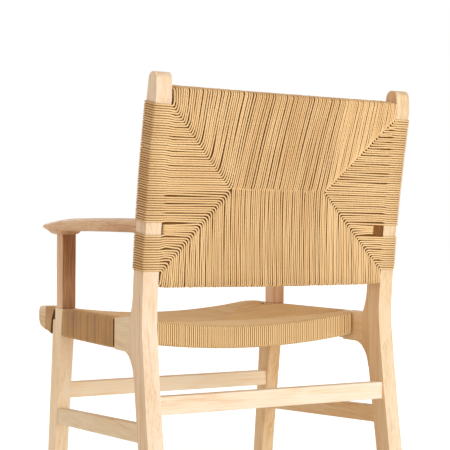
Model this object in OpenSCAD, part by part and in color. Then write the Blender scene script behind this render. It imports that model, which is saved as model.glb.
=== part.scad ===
// Armchair in pale hardwood with a seat and back woven from paper cord.
// Sizes in millimetres. +Z is up, the chair faces -Y, and the sitter's left is +X.
// The origin is on the floor, in the middle of the whole chair.

/* [Overall] */
// Width over the outer faces of the legs
frame_w = 540; // [480:1:620]
// Height of the top of the seat side rails
seat_h = 440; // [410:1:480]
// Height of the top of the rear legs
back_h = 877; // [830:1:930]
// Depth over the bare front and rear seat rails
seat_d = 458; // [420:1:500]

/* [Rear legs] */
// Width of each rear leg, seen from behind
rear_leg_w = 30; // [26:1:40]
// Front-to-back depth of the rear leg at its top
rear_leg_top_d = 41; // [34:1:46]
// Front-to-back depth of the rear leg just above the seat
rear_leg_mid_d = 44; // [40:1:50]
// Front-to-back depth of the rear leg just below the seat
rear_leg_low_d = 48; // [42:1:54]
// Front-to-back depth of the rear leg at the floor
rear_leg_foot_d = 40; // [30:1:46]
// How far the face that takes the side rail stands ahead of the heel line
rear_joint_y = 55; // [52:1:64]
// Backward lean of the rear leg where it leaves the seat, in degrees
lean_low = 3.4; // [2:0.1:6]
// Backward lean of the rear leg at its top, in degrees
lean_top = 14.2; // [8:0.1:18]
// Backward slope of the rear leg just below the seat, in degrees
splay_low = 6.8; // [4:0.1:9]
// Backward slope of the rear leg at the floor, in degrees
splay_foot = 11.2; // [7:0.1:13]
// Length of the curve that widens the rear leg down to the side rail
flare_h = 60; // [40:1:75]
// Radius of the curve under the side rail that runs into the rear leg
knee_r = 50; // [40:1:56]
// Height over which the rear leg's back edge is rounded at its bend
bend_h = 48; // [30:1:60]
// Radius of the rear leg's front corner at the top
top_front_r = 16; // [8:1:18]
// Radius of the rear leg's back corner at the top
top_back_r = 16; // [6:1:18]
// How far the rear leg's back edge eases forwards at its very top
top_ease = 14; // [4:1:16]

/* [Front legs] */
// Width of each front leg, seen from the front
front_leg_w = 30; // [26:1:40]
// Front-to-back depth of the front leg at the top of the seat rail
front_leg_d = 54; // [48:1:60]
// Front-to-back depth of the front leg at the floor
front_foot_d = 35; // [28:1:44]
// Gap between the back of the front rail and the front leg, at the top of the seat rail
front_leg_gap = 56; // [50:1:70]
// Forward slope of the front leg's front edge, in degrees
front_splay = 5.6; // [2:0.1:8]
// Depth of the shoulder cut into the front leg's top front corner
shoulder_d = 10; // [6:1:12]
// Height of the shoulder cut into the front leg's top front corner
shoulder_h = 25; // [15:1:40]

/* [Arms] */
// Front-to-back depth of the post that carries the arm
arm_post_d = 36; // [30:1:42]
// Height of the arm's underside above the seat side rail, at the arm post
arm_clear = 155; // [130:1:180]
// Thickness of the arm where it meets the rear leg
arm_rear_t = 26; // [22:1:32]
// Thickness of the arm over the arm post
arm_mid_t = 33; // [28:1:38]
// Width of the arm where it meets the rear leg
arm_rear_w = 29; // [24:1:34]
// Greatest width of the arm
arm_wide_w = 58; // [48:1:66]
// How far the arm's nose reaches past the front of its post
arm_nose = 97; // [85:1:110]
// How far the middle of the arm's nose stands outside the middle of its post
arm_out = 4; // [0:1:8]
// How far the arm's top falls on its way back to the rear leg
arm_fall = 6; // [0:1:12]
// Depth of the housing in the arm's underside for its post
post_housing = 2; // [1.5:0.5:4]
// Length of the curve where the arm's underside swells down to the post
swell_l = 9; // [6:1:18]
// How far the full thickness of the arm reaches behind its post
swell_past = 2; // [0:0.5:6]

/* [Seat frame] */
// Width of each side rail, seen from the front
side_rail_w = 30; // [26:1:40]
// Height of each side rail
side_rail_h = 59; // [52:1:66]
// Thickness of the front and rear rails, front to back
rail_t = 30; // [26:1:36]
// Height of the front and rear rails
rail_h = 38; // [30:1:42]
// How far the front and rear rails dip in the middle
rail_dish = 20; // [10:1:26]
// Gap between the heel line and the back of the rear rail
rear_rail_gap = 92; // [88:1:110]
// How far the side rail's nose reaches past the front rail
nose_past = 10; // [6:1:16]
// Height of the side rail's nose
nose_h = 46; // [42:1:50]
// Gap between the front leg and the place where the side rail's underside starts to rise
chin_gap = 14; // [0:1:20]
// Radius of the nose at its top
nose_top_r = 16; // [8:1:18]
// Radius of the nose at its bottom
nose_low_r = 22; // [10:1:24]
// Thickness of the side rail that is left where it laps the front leg
lap_t = 12; // [10:1:14]

/* [Back frame] */
// Height of the back's top and bottom rails
back_rail_h = 25; // [20:1:30]
// Thickness of the back's top and bottom rails, front to back
back_rail_t = 28; // [22:1:34]
// How far the back rails sit ahead of the rear legs' back faces
back_inset = 4; // [2:0.5:6]
// Gap between the top of the rear leg and the underside of the top rail
top_rail_drop = 55; // [48:1:64]
// Height of the underside of the bottom rail above the seat side rails
bottom_rail_rise = 63; // [58:1:90]

/* [Stretchers] */
// Thickness of every stretcher
stretcher_t = 20; // [16:1:24]
// Height of every stretcher
stretcher_h = 33; // [26:1:40]
// Height of the middle of the rear stretcher
rear_stretcher_z = 291; // [280:1:310]
// Height of the middle of the front stretcher
front_stretcher_z = 266; // [262:1:300]
// Height of the side stretchers' middle at the front legs
side_stretcher_front_z = 214; // [190:1:218]
// Height of the side stretchers' middle at the rear legs
side_stretcher_rear_z = 241; // [200:1:244]
// How far the front and rear stretchers sit in from the legs' back faces
stretcher_inset = 6; // [3:1:8]
// How far the side stretchers sit in from the legs' outer faces
side_stretcher_inset = 3; // [2:1:6]

/* [Cord] */
// Diameter of the paper cord
cord_d = 3.8; // [3:0.1:4.5]
// Height of the bare band of the rear leg where the arm joins
arm_band = 24; // [20:1:30]
// How far the woven seat sinks in its middle below the rails
seat_dip = 8; // [2:1:12]
// How far the woven back thins on each face in its middle
back_dip = 6; // [2:1:8]
// Gap between the cord's wraps and the front of the front leg
wrap_gap = 2; // [1:0.5:4]
// Gap between the cord's outer face and the packing behind it
packing_cover = 7; // [5:0.5:9]

/* [Joints] */
// Thickness of the tenons
tenon_t = 10; // [8:1:12]
// Length of the tenons on stretchers and rails
tenon_l = 18; // [14:1:20]
// Length of the side rail's tenon into the rear leg
rail_tenon_l = 26; // [18:1:30]
// Shoulder above and below each tenon
tenon_shoulder = 5; // [4:0.5:7]
// Shoulder above and below the tenons of the back rails
back_shoulder = 4; // [3:0.5:6]
// Clearance round every tenon, dowel and screw
fit = 0.15; // [0.1:0.05:0.3]
// Diameter of the round tenon at the top of the arm post
post_tenon_d = 16; // [12:1:18]
// Height of the round tenon, from the arm's underside
post_tenon_h = 20; // [14:1:24]
// Length of the flat tenon at the foot of the arm post
post_foot_l = 26; // [18:1:30]
// Shoulder ahead of and behind the flat tenon at the foot of the arm post
post_foot_shoulder = 7; // [4:0.5:9]
// Diameter of the dowels that fix the arm to the rear leg
dowel_d = 8; // [6:1:9]
// Length of the dowels that fix the arm to the rear leg
dowel_l = 40; // [30:1:46]
// Distance between the two dowels of an arm
dowel_pitch = 14; // [12:1:15]
// Diameter of the screws through the lap of the side rail
screw_d = 4; // [3:0.5:5]
// Length of the screws through the lap of the side rail
screw_l = 24; // [20:1:26]
// Diameter of the screws' heads
screw_head_d = 8; // [6:0.5:10]
// Height of the lower screw above the underside of the side rail
screw_rise = 9; // [7:0.5:11]
// Distance between the two screws of a lap
screw_pitch = 14; // [12:0.5:15]
// Diameter of the shank of each cord tack
tack_d = 1.6; // [1.2:0.1:2]
// Length of each cord tack
tack_l = 14; // [12:1:16]
// Height of the seat tacks above the underside of the side rail
tack_rise = 14; // [10:1:18]
// How far the back tacks sit ahead of the back rails' rear faces
tack_inset = 3; // [2:0.5:6]
// Distance from the ends of the wraps to the first and last tack
tack_margin = 35; // [25:1:45]
// Number of tacks on each rail or leg
tack_count = 4; // [2:1:6]

/* [Feet] */
// Diameter of each glide
glide_d = 18; // [14:1:22]
// Thickness of each glide
glide_t = 3; // [2:0.5:5]
// Diameter of the nail in each glide
glide_nail_d = 2.4; // [2:0.1:3]
// Length of the nail in each glide
glide_nail_l = 16; // [12:1:20]

/* [Hidden] */
wood = "burlywood";
cord = "tan";
steel = "silver";
$fn = 48;
// How far stretches that join overlap, and how far a cut runs past a face
eps = 0.01;
past = 1;
// Straight steps in a long curved edge and in a short one
STEPS = 12;
FEW = 6;

// Places along X
half_w = frame_w / 2;
rear_in = half_w - rear_leg_w;
front_in = half_w - front_leg_w;
rail_in = half_w - side_rail_w;
lap_x = rail_in + lap_t;

// Places along Y, measured from the heel line, where the rear legs bend
rear_rail_back = -rear_rail_gap;
rear_rail_front = rear_rail_back - rail_t;
front_rail_front = rear_rail_back - seat_d;
front_rail_back = front_rail_front + rail_t;
nose_tip = front_rail_front - nose_past;
bare_end = rear_rail_front - cord_d;
nose_end = front_rail_back + cord_d;
leg_front_top = front_rail_back + front_leg_gap;
leg_back_top = leg_front_top + front_leg_d;
shoulder_y = leg_front_top + shoulder_d;
post_y = leg_back_top - arm_post_d / 2;

// Places along Z
bend_drop = 4;
side_low = seat_h - side_rail_h;
bend_z = seat_h - bend_drop;
rail_top = seat_h - cord_d;
arm_under = seat_h + arm_clear;
arm_rear_z = arm_under + arm_mid_t - arm_fall - arm_rear_t / 2;
top_rail_z = back_h - top_rail_drop;
bottom_rail_z = seat_h + bottom_rail_rise;

// Side view of the rear leg: back edge, depth and lean at a height
function bow(h, a, b, full) = tan(a) * h + (tan(b) - tan(a)) * h * h / (2 * full);
function bow_angle(h, a, b, full) = atan(tan(a) + (tan(b) - tan(a)) * h / full);
function rear_y(z) = z > bend_z
    ? bow(z - bend_z, lean_low, lean_top, back_h - bend_z)
    : bow(bend_z - z, splay_low, splay_foot, bend_z);
function rear_lean(z) = z > bend_z
    ? bow_angle(z - bend_z, lean_low, lean_top, back_h - bend_z)
    : -bow_angle(bend_z - z, splay_low, splay_foot, bend_z);
function rear_d(z) = z > bend_z
    ? rear_leg_mid_d + (rear_leg_top_d - rear_leg_mid_d) * (z - bend_z) / (back_h - bend_z)
    : rear_leg_foot_d + (rear_leg_low_d - rear_leg_foot_d) * z / bend_z;
function front_y(z) = rear_y(z) - rear_d(z);
// Above the top rail the back edge eases forwards
function top_share(z) = max(0, z - top_rail_z) / (back_h - top_rail_z);
function back_edge(z) = rear_y(z) - top_ease * pow(top_share(z), 2);
function back_edge_lean(z) = atan(tan(rear_lean(z)) - 2 * top_ease * top_share(z) / (back_h - top_rail_z));
// Share of their radii that the two top corners keep, so that a flat is left between them
top_flat = 1;
top_room = back_edge(back_h - top_back_r) - front_y(back_h - top_front_r) - top_flat;
top_fit = min(1, top_room / (top_front_r + top_back_r));
// A point that lies b ahead of the rear leg's back edge, square to the leg
function on_leg(z, b) = [rear_y(z) - b * cos(rear_lean(z)), z + b * sin(rear_lean(z))];
function arc(c, r, a0, a1, n = 8) = [for (i = [0 : n]) let (a = a0 + (a1 - a0) * i / n)
    [c[0] + r * cos(a), c[1] + r * sin(a)]];
function span(a, b, n) = [for (i = [0 : n]) a + (b - a) * i / n];

// The whole chair's reach in Y sets the origin in its middle
arm_tip = post_y - arm_post_d / 2 - arm_nose;
back_top = top_rail_z + (back_rail_h + cord_d) * cos(lean_top);
front_most = min(nose_tip, arm_tip);
back_most = max(rear_y(glide_t), on_leg(back_top, -cord_d)[0]);
y_mid = (front_most + back_most) / 2;

// Knee under the side rail, split between the rail and the rear leg
knee_share = 0.6;
knee_y = -rear_joint_y - knee_share * knee_r;
knee_c = [knee_y, side_low - knee_r];
knee_split = acos(knee_share);
knee_end = 8;
flare_y = front_y(seat_h + flare_h);
flare_r = (pow(flare_h, 2) + pow(rear_joint_y + flare_y, 2)) / (2 * (rear_joint_y + flare_y));
flare_a = asin(flare_h / flare_r);
knee_low_z = knee_c[1] + knee_r * sin(knee_end);
arm_band_z = arm_rear_z - rear_d(arm_rear_z) * sin(rear_lean(arm_rear_z)) - arm_band / 2;

// Front leg edges at a height
function leg_front(z) = leg_front_top - (seat_h - z) * tan(front_splay);
foot_front_y = leg_front(glide_t);
function leg_back(z) = leg_back_top
    + (foot_front_y + front_foot_d - leg_back_top) * (seat_h - z) / (seat_h - glide_t);

// Stretcher height along the chair's side
function side_z(y) = side_stretcher_rear_z
    + (side_stretcher_front_z - side_stretcher_rear_z) * (y / (leg_back_top));

// Extrudes a (y, z) outline along X from x to x + w
module along_x(x, w) {
    translate([x, 0, 0]) rotate([90, 0, 90]) linear_extrude(w) children();
}
// Extrudes an (x, z) outline along Y from y to y + d
module along_y(y, d) {
    translate([0, y + d, 0]) rotate([90, 0, 0]) linear_extrude(d) children();
}
// Draws children on the left, and mirrored on the right
module both_sides() {
    children();
    mirror([1, 0, 0]) children();
}
// Sets a piece in its place, mirrored for the right-hand side
module place(side = 1) {
    translate([0, -y_mid, 0]) mirror([side < 0 ? 1 : 0, 0, 0]) children();
}
// Stands children on the rear leg's back face at height z, square to the leg
module at_leg(z) {
    translate([0, rear_y(z), z]) rotate([-rear_lean(z), 0, 0]) children();
}

// Rear legs
// Length of the straight that eases a curve into the next stretch
ease_l = 8;
// Angle that the flare has already turned through at its top
flare_lead = 2;
module rear_leg_outline() {
    back_r = top_back_r * top_fit;
    front_r = top_front_r * top_fit;
    back_z = back_h - back_r;
    front_z = back_h - front_r;
    polygon(concat(
        [for (z = span(glide_t, bend_z - bend_h / 2, STEPS)) [rear_y(z), z]],
        [for (z = span(bend_z + bend_h / 2, top_rail_z, STEPS)) [rear_y(z), z]],
        [for (z = span(top_rail_z + ease_l, back_z - ease_l, FEW)) [back_edge(z), z]],
        arc([back_edge(back_z) - back_r, back_z], back_r, back_edge_lean(back_z), 90),
        arc([front_y(front_z) + front_r, front_z], front_r, 90, 180),
        [for (z = span(front_z - ease_l, seat_h + flare_h, STEPS)) [front_y(z), z]],
        arc([flare_y - flare_r, seat_h + flare_h], flare_r, -flare_lead, -flare_a, FEW),
        arc(knee_c, knee_r, knee_split, knee_end, FEW),
        [for (z = span(knee_low_z - ease_l, glide_t, STEPS)) [front_y(z), z]]
    ));
}
module rear_leg_body() {
    along_x(rear_in, rear_leg_w) rear_leg_outline();
}
module rear_leg() {
    color(wood) difference() {
        rear_leg_body();
        back_rail_tenons(top_rail_z, fit);
        back_rail_tenons(bottom_rail_z, fit);
        rear_stretcher_tenons(fit);
        side_stretcher_tenons(fit);
        side_rail_tenon(fit);
        arm_dowels(fit);
        glide_nail(rear_foot(), fit);
        back_tacks();
    }
}

// Front legs
module front_leg_outline(gap = 0) {
    polygon([
        [leg_back(glide_t) + gap, glide_t],
        [leg_back_top + gap, seat_h + gap],
        [shoulder_y - gap, seat_h + gap],
        [shoulder_y - gap, seat_h - shoulder_h + gap],
        [leg_front(seat_h - shoulder_h) - gap, seat_h - shoulder_h + gap],
        [leg_front(glide_t) - gap, glide_t]
    ]);
}
module front_leg() {
    color(wood) difference() {
        along_x(front_in, front_leg_w) front_leg_outline();
        // Housing for the side rail, open at the top and on the inner face
        translate([front_in - past, leg_front(side_low) - past, side_low - fit])
            cube([
                lap_x - front_in + past + fit,
                leg_back_top - leg_front(side_low) + 2 * past,
                side_rail_h + past + fit
            ]);
        arm_post_tenon(fit);
        front_stretcher_tenons(fit);
        side_stretcher_tenons(fit);
        lap_screws(fit);
        glide_nail(front_foot(), fit);
    }
}

// Post that stands on the front leg and carries the arm
module arm_post_tenon(gap) {
    wide = arm_post_d - 2 * post_foot_shoulder;
    thick = half_w - lap_x - 2 * tenon_shoulder;
    translate([lap_x + tenon_shoulder - gap, post_y - wide / 2 - gap, seat_h - post_foot_l - gap])
        cube([thick + 2 * gap, wide + 2 * gap, post_foot_l + past + gap]);
}
module arm_post_top(gap) {
    translate([front_in + front_leg_w / 2, post_y, arm_under])
        cylinder(d = post_tenon_d + 2 * gap, h = post_tenon_h + gap);
}
module arm_post_body(gap) {
    translate([front_in - gap, post_y - arm_post_d / 2 - gap, seat_h])
        cube([front_leg_w + 2 * gap, arm_post_d + 2 * gap, arm_clear + post_housing + gap]);
}
module arm_post() {
    color("peru") union() {
        arm_post_body(0);
        arm_post_tenon(0);
        arm_post_top(0);
    }
}

// Arm: a loft of rounded sections from the rear leg to the nose
arm_x = half_w - front_leg_w / 2;
ARM_RINGS = 26;
ARM_SIDES = 24;
// How far the loft runs into the rear leg, which then trims it
arm_into = 12;
arm_start = front_y(arm_rear_z) + arm_into;
// Share of the arm's length where the nose begins to narrow
nose_from = 0.8;
// Fullness of the nose in plan, and the share of the arm's width at its very tip
nose_power = 2.4;
nose_tip_w = 0.02;
// Shares of its thickness that the nose loses in all, and at its top alone
nose_thin = 0.88;
nose_fall = 0.25;
// Squareness of the arm's section, where 1 is an ellipse
section_power = 0.62;
function smooth(t) = t <= 0 ? 0 : t >= 1 ? 1 : t * t * (3 - 2 * t);
// Share of the way from the rear leg to the tip, with rings closer together at the nose
function arm_t(i) = sin(90 * i / ARM_RINGS);
function arm_y(t) = arm_start + (arm_tip - arm_start) * t;
function nose_share(t) = max(0, (t - nose_from) / (1 - nose_from));
function arm_w(t) = (arm_rear_w + (arm_wide_w - arm_rear_w) * smooth(t / nose_from))
    * max(nose_tip_w, sqrt(max(0, 1 - pow(nose_share(t), nose_power))));
// The underside swells down to the post over a short curve
function swell(t) = smooth((arm_post_d / 2 + swell_past + swell_l - (arm_y(t) - post_y)) / swell_l);
function arm_h(t) = (arm_rear_t + (arm_mid_t - arm_rear_t) * swell(t))
    * (1 - nose_thin * pow(nose_share(t), 2));
function arm_top(t) = arm_under + arm_mid_t - arm_fall * pow(1 - min(1, t / nose_from), 2)
    - nose_fall * arm_mid_t * pow(nose_share(t), 2);
// Rounds a unit circle's cosine or sine towards a soft rectangle
function squared(c) = sign(c) * pow(abs(c), section_power);
function arm_ring(t) = [for (j = [0 : ARM_SIDES - 1]) let (a = 360 * j / ARM_SIDES)
    [arm_x + arm_out * smooth(t) + arm_w(t) / 2 * squared(cos(a)),
     arm_y(t),
     arm_top(t) - arm_h(t) / 2 * (1 - squared(sin(a)))]];
module loft(rings, sides) {
    points = [for (r = rings) each r];
    n = len(rings);
    polyhedron(points, concat(
        [[for (j = [0 : sides - 1]) j]],
        [for (i = [0 : n - 2], j = [0 : sides - 1]) let (k = (j + 1) % sides)
            [i * sides + j, (i + 1) * sides + j, (i + 1) * sides + k]],
        [for (i = [0 : n - 2], j = [0 : sides - 1]) let (k = (j + 1) % sides)
            [i * sides + j, (i + 1) * sides + k, i * sides + k]],
        [[for (j = [sides - 1 : -1 : 0]) (n - 1) * sides + j]]
    ));
}
module arm() {
    color(wood) difference() {
        loft([for (i = [0 : ARM_RINGS]) arm_ring(arm_t(i))], ARM_SIDES);
        rear_leg_body();
        arm_post_body(fit);
        arm_post_top(fit);
        arm_dowels(fit);
    }
}
module arm_dowels(gap) {
    for (dx = [-dowel_pitch / 2, dowel_pitch / 2])
        translate([arm_x + dx, front_y(arm_rear_z) - dowel_l / 2 - gap, arm_rear_z])
            rotate([-90, 0, 0]) cylinder(d = dowel_d + 2 * gap, h = dowel_l + 2 * gap);
}

// Side rail of the seat, cut down by one cord where the cord wraps it
function nose_line(cut) = concat(
    arc([nose_tip + nose_top_r, seat_h - nose_top_r], nose_top_r - cut, 90, 180),
    arc([nose_tip + nose_low_r, seat_h - nose_h + nose_low_r], nose_low_r - cut, 180, 270)
);
module side_rail_outline(cut = 0) {
    polygon(concat(
        [[-rear_joint_y, seat_h - cut]],
        nose_line(cut),
        [[leg_front(side_low) - chin_gap, side_low + cut], [knee_y, side_low + cut]],
        arc(knee_c, knee_r + cut, 90, knee_split, FEW)
    ));
}
module side_rail_tenon(gap) {
    x = half_w - side_rail_w / 2 - tenon_t / 2 - gap;
    translate([x, -rear_joint_y - past, side_low + tenon_shoulder - gap])
        cube([tenon_t + 2 * gap, rail_tenon_l + past + gap, side_rail_h - 2 * tenon_shoulder + 2 * gap]);
}
// The stretch of the side rail between two places along Y
module rail_stretch(y0, y1, x0, x1, cut) {
    intersection() {
        along_x(x0, x1 - x0) side_rail_outline(cut);
        translate([x0 - past, y0, 0]) cube([x1 - x0 + 2 * past, y1 - y0, seat_h + past]);
    }
}
module side_rail_core() {
    rail_stretch(nose_tip - past, nose_end, rail_in, half_w, 0);
    rail_stretch(nose_end - eps, bare_end + eps, rail_in, half_w - cord_d, cord_d);
    rail_stretch(shoulder_y, leg_back_top, rail_in, half_w - cord_d, 0);
    rail_stretch(bare_end, -rear_joint_y, rail_in, half_w, 0);
}
module side_rail() {
    color(wood) difference() {
        union() {
            side_rail_core();
            side_rail_tenon(0);
        }
        // Lap: the outer part is cut away for the front leg
        along_x(lap_x, side_rail_w) front_leg_outline(fit);
        seat_rail_tenon(front_rail_front, fit);
        seat_rail_tenon(rear_rail_front, fit);
        lap_screws(fit);
        seat_tacks();
    }
}

// Screws that hold the lap of the side rail to the front leg
module lap_screws(gap) {
    head_h = (screw_head_d - screw_d) / 2;
    for (dz = [screw_rise, screw_rise + screw_pitch])
        translate([rail_in, (leg_front(side_low) + leg_back(side_low)) / 2, side_low + dz])
            rotate([0, 90, 0]) {
                cylinder(d = screw_d + 2 * gap, h = screw_l + gap);
                cylinder(d1 = screw_head_d + 2 * gap, d2 = screw_d + 2 * gap, h = head_h);
            }
}

// Front and rear rails of the seat, dished in the middle
function dish(x) = rail_dish * (1 - pow(x / rail_in, 2));
module dished(top, low, w) {
    polygon(concat(
        [for (x = span(-w, w, 2 * STEPS)) [x, top - dish(x)]],
        [for (x = span(w, -w, 2 * STEPS)) [x, low - dish(x)]]
    ));
}
module seat_rail_tenon(y, gap) {
    translate([rail_in - past, y + rail_t / 2 - tenon_t / 2 - gap, rail_top - rail_h + tenon_shoulder - gap])
        cube([tenon_l + past + gap, tenon_t + 2 * gap, rail_h - 2 * tenon_shoulder + 2 * gap]);
}
module seat_rail_body(y, more = 0) {
    along_y(y, rail_t) dished(rail_top, rail_top - rail_h, rail_in + more);
}
module seat_rail(y) {
    color(wood) union() {
        seat_rail_body(y);
        seat_rail_tenon(y, 0);
        mirror([1, 0, 0]) seat_rail_tenon(y, 0);
    }
}

// Rails of the woven back
module back_rail_tenons(z, gap) {
    half = rear_in + tenon_l;
    at_leg(z) translate([-half - gap, -back_inset - back_rail_t / 2 - tenon_t / 2 - gap, back_shoulder - gap])
        cube([2 * half + 2 * gap, tenon_t + 2 * gap, back_rail_h - 2 * back_shoulder + 2 * gap]);
}
module back_rail_body(z) {
    at_leg(z) translate([-rear_in, -back_inset - back_rail_t, 0])
        cube([2 * rear_in, back_rail_t, back_rail_h]);
}
module back_rail(z) {
    color(wood) union() {
        back_rail_body(z);
        back_rail_tenons(z, 0);
    }
}

// Stretchers
// A straight bar across the chair and its tenons, ahead of the back faces of two legs at back_y
module cross_bar(half, back_y, z) {
    translate([-half, back_y - stretcher_inset - stretcher_t, z - stretcher_h / 2])
        cube([2 * half, stretcher_t, stretcher_h]);
}
module cross_tenons(half, back_y, z, gap) {
    long = half + tenon_l + gap;
    tall = stretcher_h - 2 * tenon_shoulder + 2 * gap;
    y = back_y - stretcher_inset - stretcher_t / 2 - tenon_t / 2 - gap;
    translate([-long, y, z - tall / 2]) cube([2 * long, tenon_t + 2 * gap, tall]);
}
module rear_stretcher_tenons(gap) {
    cross_tenons(rear_in, rear_y(rear_stretcher_z), rear_stretcher_z, gap);
}
module front_stretcher_tenons(gap) {
    cross_tenons(front_in, leg_back(front_stretcher_z), front_stretcher_z, gap);
}
module rear_stretcher() {
    color(wood) union() {
        cross_bar(rear_in, rear_y(rear_stretcher_z), rear_stretcher_z);
        rear_stretcher_tenons(0);
    }
}
module front_stretcher() {
    color(wood) union() {
        cross_bar(front_in, leg_back(front_stretcher_z), front_stretcher_z);
        front_stretcher_tenons(0);
    }
}
// A sloping bar along the chair's side, from y0 to y1
module side_bar(y0, y1, t, h) {
    along_x(half_w - side_stretcher_inset - (stretcher_t + t) / 2, t) polygon([
        [y0, side_z(y0) - h / 2], [y1, side_z(y1) - h / 2],
        [y1, side_z(y1) + h / 2], [y0, side_z(y0) + h / 2]
    ]);
}
// Where the side stretcher's middle meets the front and the rear leg
bar_front = leg_back(side_stretcher_front_z);
bar_rear = front_y(side_stretcher_rear_z);
// How far the bar runs into the legs, whose sloping faces then trim it
bar_into = 12;
module side_stretcher_tenons(gap) {
    side_bar(bar_front - tenon_l - gap, bar_rear + tenon_l + gap,
        tenon_t + 2 * gap, stretcher_h - 2 * tenon_shoulder + 2 * gap);
}
module side_stretcher() {
    color(wood) union() {
        difference() {
            side_bar(bar_front - bar_into, bar_rear + bar_into, stretcher_t, stretcher_h);
            rear_leg_body();
            along_x(front_in, front_leg_w) front_leg_outline();
        }
        side_stretcher_tenons(0);
    }
}

// Woven seat: rounded sections from side to side, with the cord's wraps on the side rails
SEAT_STATIONS = 20;
WEB_STEPS = 8;
seat_mid = (rear_rail_back + front_rail_front) / 2;
seat_half = seat_d / 2 + cord_d;
cord_low = rail_top - rail_h - cord_d;
function sunk(x, v) = seat_dip * (1 - pow(x / half_w, 2)) * (1 - v * v);
function seat_top(x, v) = seat_h - dish(x) - sunk(x, v);
function seat_low(x, v) = cord_low - dish(x) + sunk(x, v)
    - (cord_low - side_low) * pow(x / rail_in, 4) * (1 - pow(v, 4));
function seat_ring(x) = let (
    edge = 1 - cord_d / seat_half,
    front = seat_mid - seat_half, rear = seat_mid + seat_half,
    high = seat_top(x, 1) - cord_d, low = seat_low(x, 1) + cord_d)
    concat(
        [for (v = span(edge, -edge, WEB_STEPS)) [x, seat_mid + v * seat_half, seat_top(x, v)]],
        [[x, front, high], [x, front, low]],
        [for (v = span(-edge, edge, WEB_STEPS)) [x, seat_mid + v * seat_half, seat_low(x, v)]],
        [[x, rear, low], [x, rear, high]]
    );
module seat_web() {
    loft([for (x = span(-rail_in, rail_in, SEAT_STATIONS)) seat_ring(x)], 2 * WEB_STEPS + 6);
}
module side_wrap(y0, y1, gap) {
    difference() {
        rail_stretch(y0, y1, rail_in + fit, half_w, 0);
        side_rail_core();
        along_x(front_in, front_leg_w) front_leg_outline(gap);
    }
}
module seat_cord() {
    color(cord) difference() {
        union() {
            difference() {
                seat_web();
                seat_rail_body(front_rail_front, past);
                seat_rail_body(rear_rail_front, past);
                seat_packing_body(past);
            }
            both_sides() {
                side_wrap(nose_end, shoulder_y - wrap_gap, wrap_gap);
                side_wrap(leg_back(side_low), bare_end, fit);
            }
        }
        both_sides() seat_tacks();
    }
}
module seat_packing_body(more = 0) {
    depth = front_rail_back + packing_cover;
    along_y(depth, rear_rail_front - packing_cover - depth)
        dished(seat_h - seat_dip - packing_cover, cord_low + seat_dip + packing_cover, rail_in + more);
}

// Woven back: flat sections stacked up the rear legs, with the cord's wraps on the legs
BACK_STATIONS = 16;
back_low = bottom_rail_z - cord_d;
back_mid_z = (back_top + back_low) / 2;
// How squarely the cord turns from the rails' plane to the legs' faces
turn_power = 4;
function thin(u, v) = back_dip * (1 - u * u) * (1 - v * v);
function back_rear(u, v) = -cord_d + back_inset * (1 - pow(u, turn_power)) + thin(u, v);
function back_front(z, u, v) = rear_d(z) + cord_d
    - (rear_d(z) - back_inset - back_rail_t) * (1 - pow(u, turn_power)) - thin(u, v);
function back_point(z, u, b) = let (p = on_leg(z, b)) [u * rear_in, p[0], p[1]];
function back_ring(z) = let (v = (z - back_mid_z) / (back_top - back_mid_z)) concat(
    [for (u = span(1, -1, WEB_STEPS)) back_point(z, u, back_rear(u, v))],
    [for (u = span(-1, 1, WEB_STEPS)) back_point(z, u, back_front(z, u, v))]
);
module back_web() {
    loft([for (z = span(back_low, back_top, BACK_STATIONS)) back_ring(z)], 2 * WEB_STEPS + 2);
}
module leg_wrap(z0, z1) {
    along_x(rear_in, rear_leg_w + cord_d) polygon(concat(
        [for (z = span(z0, z1, FEW)) on_leg(z, -cord_d)],
        [for (z = span(z1, z0, FEW)) on_leg(z, rear_d(z) + cord_d)]
    ));
}
module back_cord() {
    color(cord) difference() {
        union() {
            back_web();
            both_sides() {
                leg_wrap(bottom_rail_z + back_rail_h, arm_band_z);
                leg_wrap(arm_band_z + arm_band, top_rail_z);
            }
        }
        both_sides() {
            rear_leg_body();
            back_tacks();
        }
        back_rail_body(top_rail_z);
        back_rail_body(bottom_rail_z);
        back_packing_body();
    }
}
module back_packing_body() {
    z0 = bottom_rail_z + back_rail_h + packing_cover;
    z1 = top_rail_z - packing_cover;
    cover = back_dip + packing_cover - cord_d;
    along_x(-rear_in, 2 * rear_in) polygon(concat(
        [for (z = span(z0, z1, STEPS)) on_leg(z, back_inset + cover)],
        [for (z = span(z1, z0, STEPS)) on_leg(z, back_inset + back_rail_t - cover)]
    ));
}

module seat_packing() {
    color("wheat") seat_packing_body();
}
module back_packing() {
    color("wheat") back_packing_body();
}

// Tacks that hold the cord's ends to the side rails and the rear legs
// Share of each tack that stands out of the wood, in the cord
tack_out = 1 / 3;
module tack() {
    translate([-tack_l * tack_out, 0, 0]) rotate([0, 90, 0]) cylinder(d = tack_d, h = tack_l);
}
module seat_tacks() {
    for (y = span(leg_back_top + tack_margin, bare_end - tack_margin, tack_count - 1))
        translate([rail_in, y, side_low + tack_rise]) tack();
}
module back_tacks() {
    for (z = span(arm_band_z + arm_band + tack_margin, top_rail_z - tack_margin, tack_count - 1))
        translate([rear_in, on_leg(z, back_inset + tack_inset)[0], z]) tack();
}

// Glides under the feet
function rear_foot() = [half_w - rear_leg_w / 2, rear_y(0) - rear_leg_foot_d / 2];
function front_foot() = [half_w - front_leg_w / 2, leg_front(0) + front_foot_d / 2];
module glide_nail(at, gap) {
    translate([at[0], at[1], glide_t - past])
        cylinder(d = glide_nail_d + 2 * gap, h = glide_nail_l + past + gap);
}
module glide(at) {
    color("gainsboro") union() {
        translate([at[0], at[1], 0]) cylinder(d = glide_d, h = glide_t);
        glide_nail(at, 0);
    }
}

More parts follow.
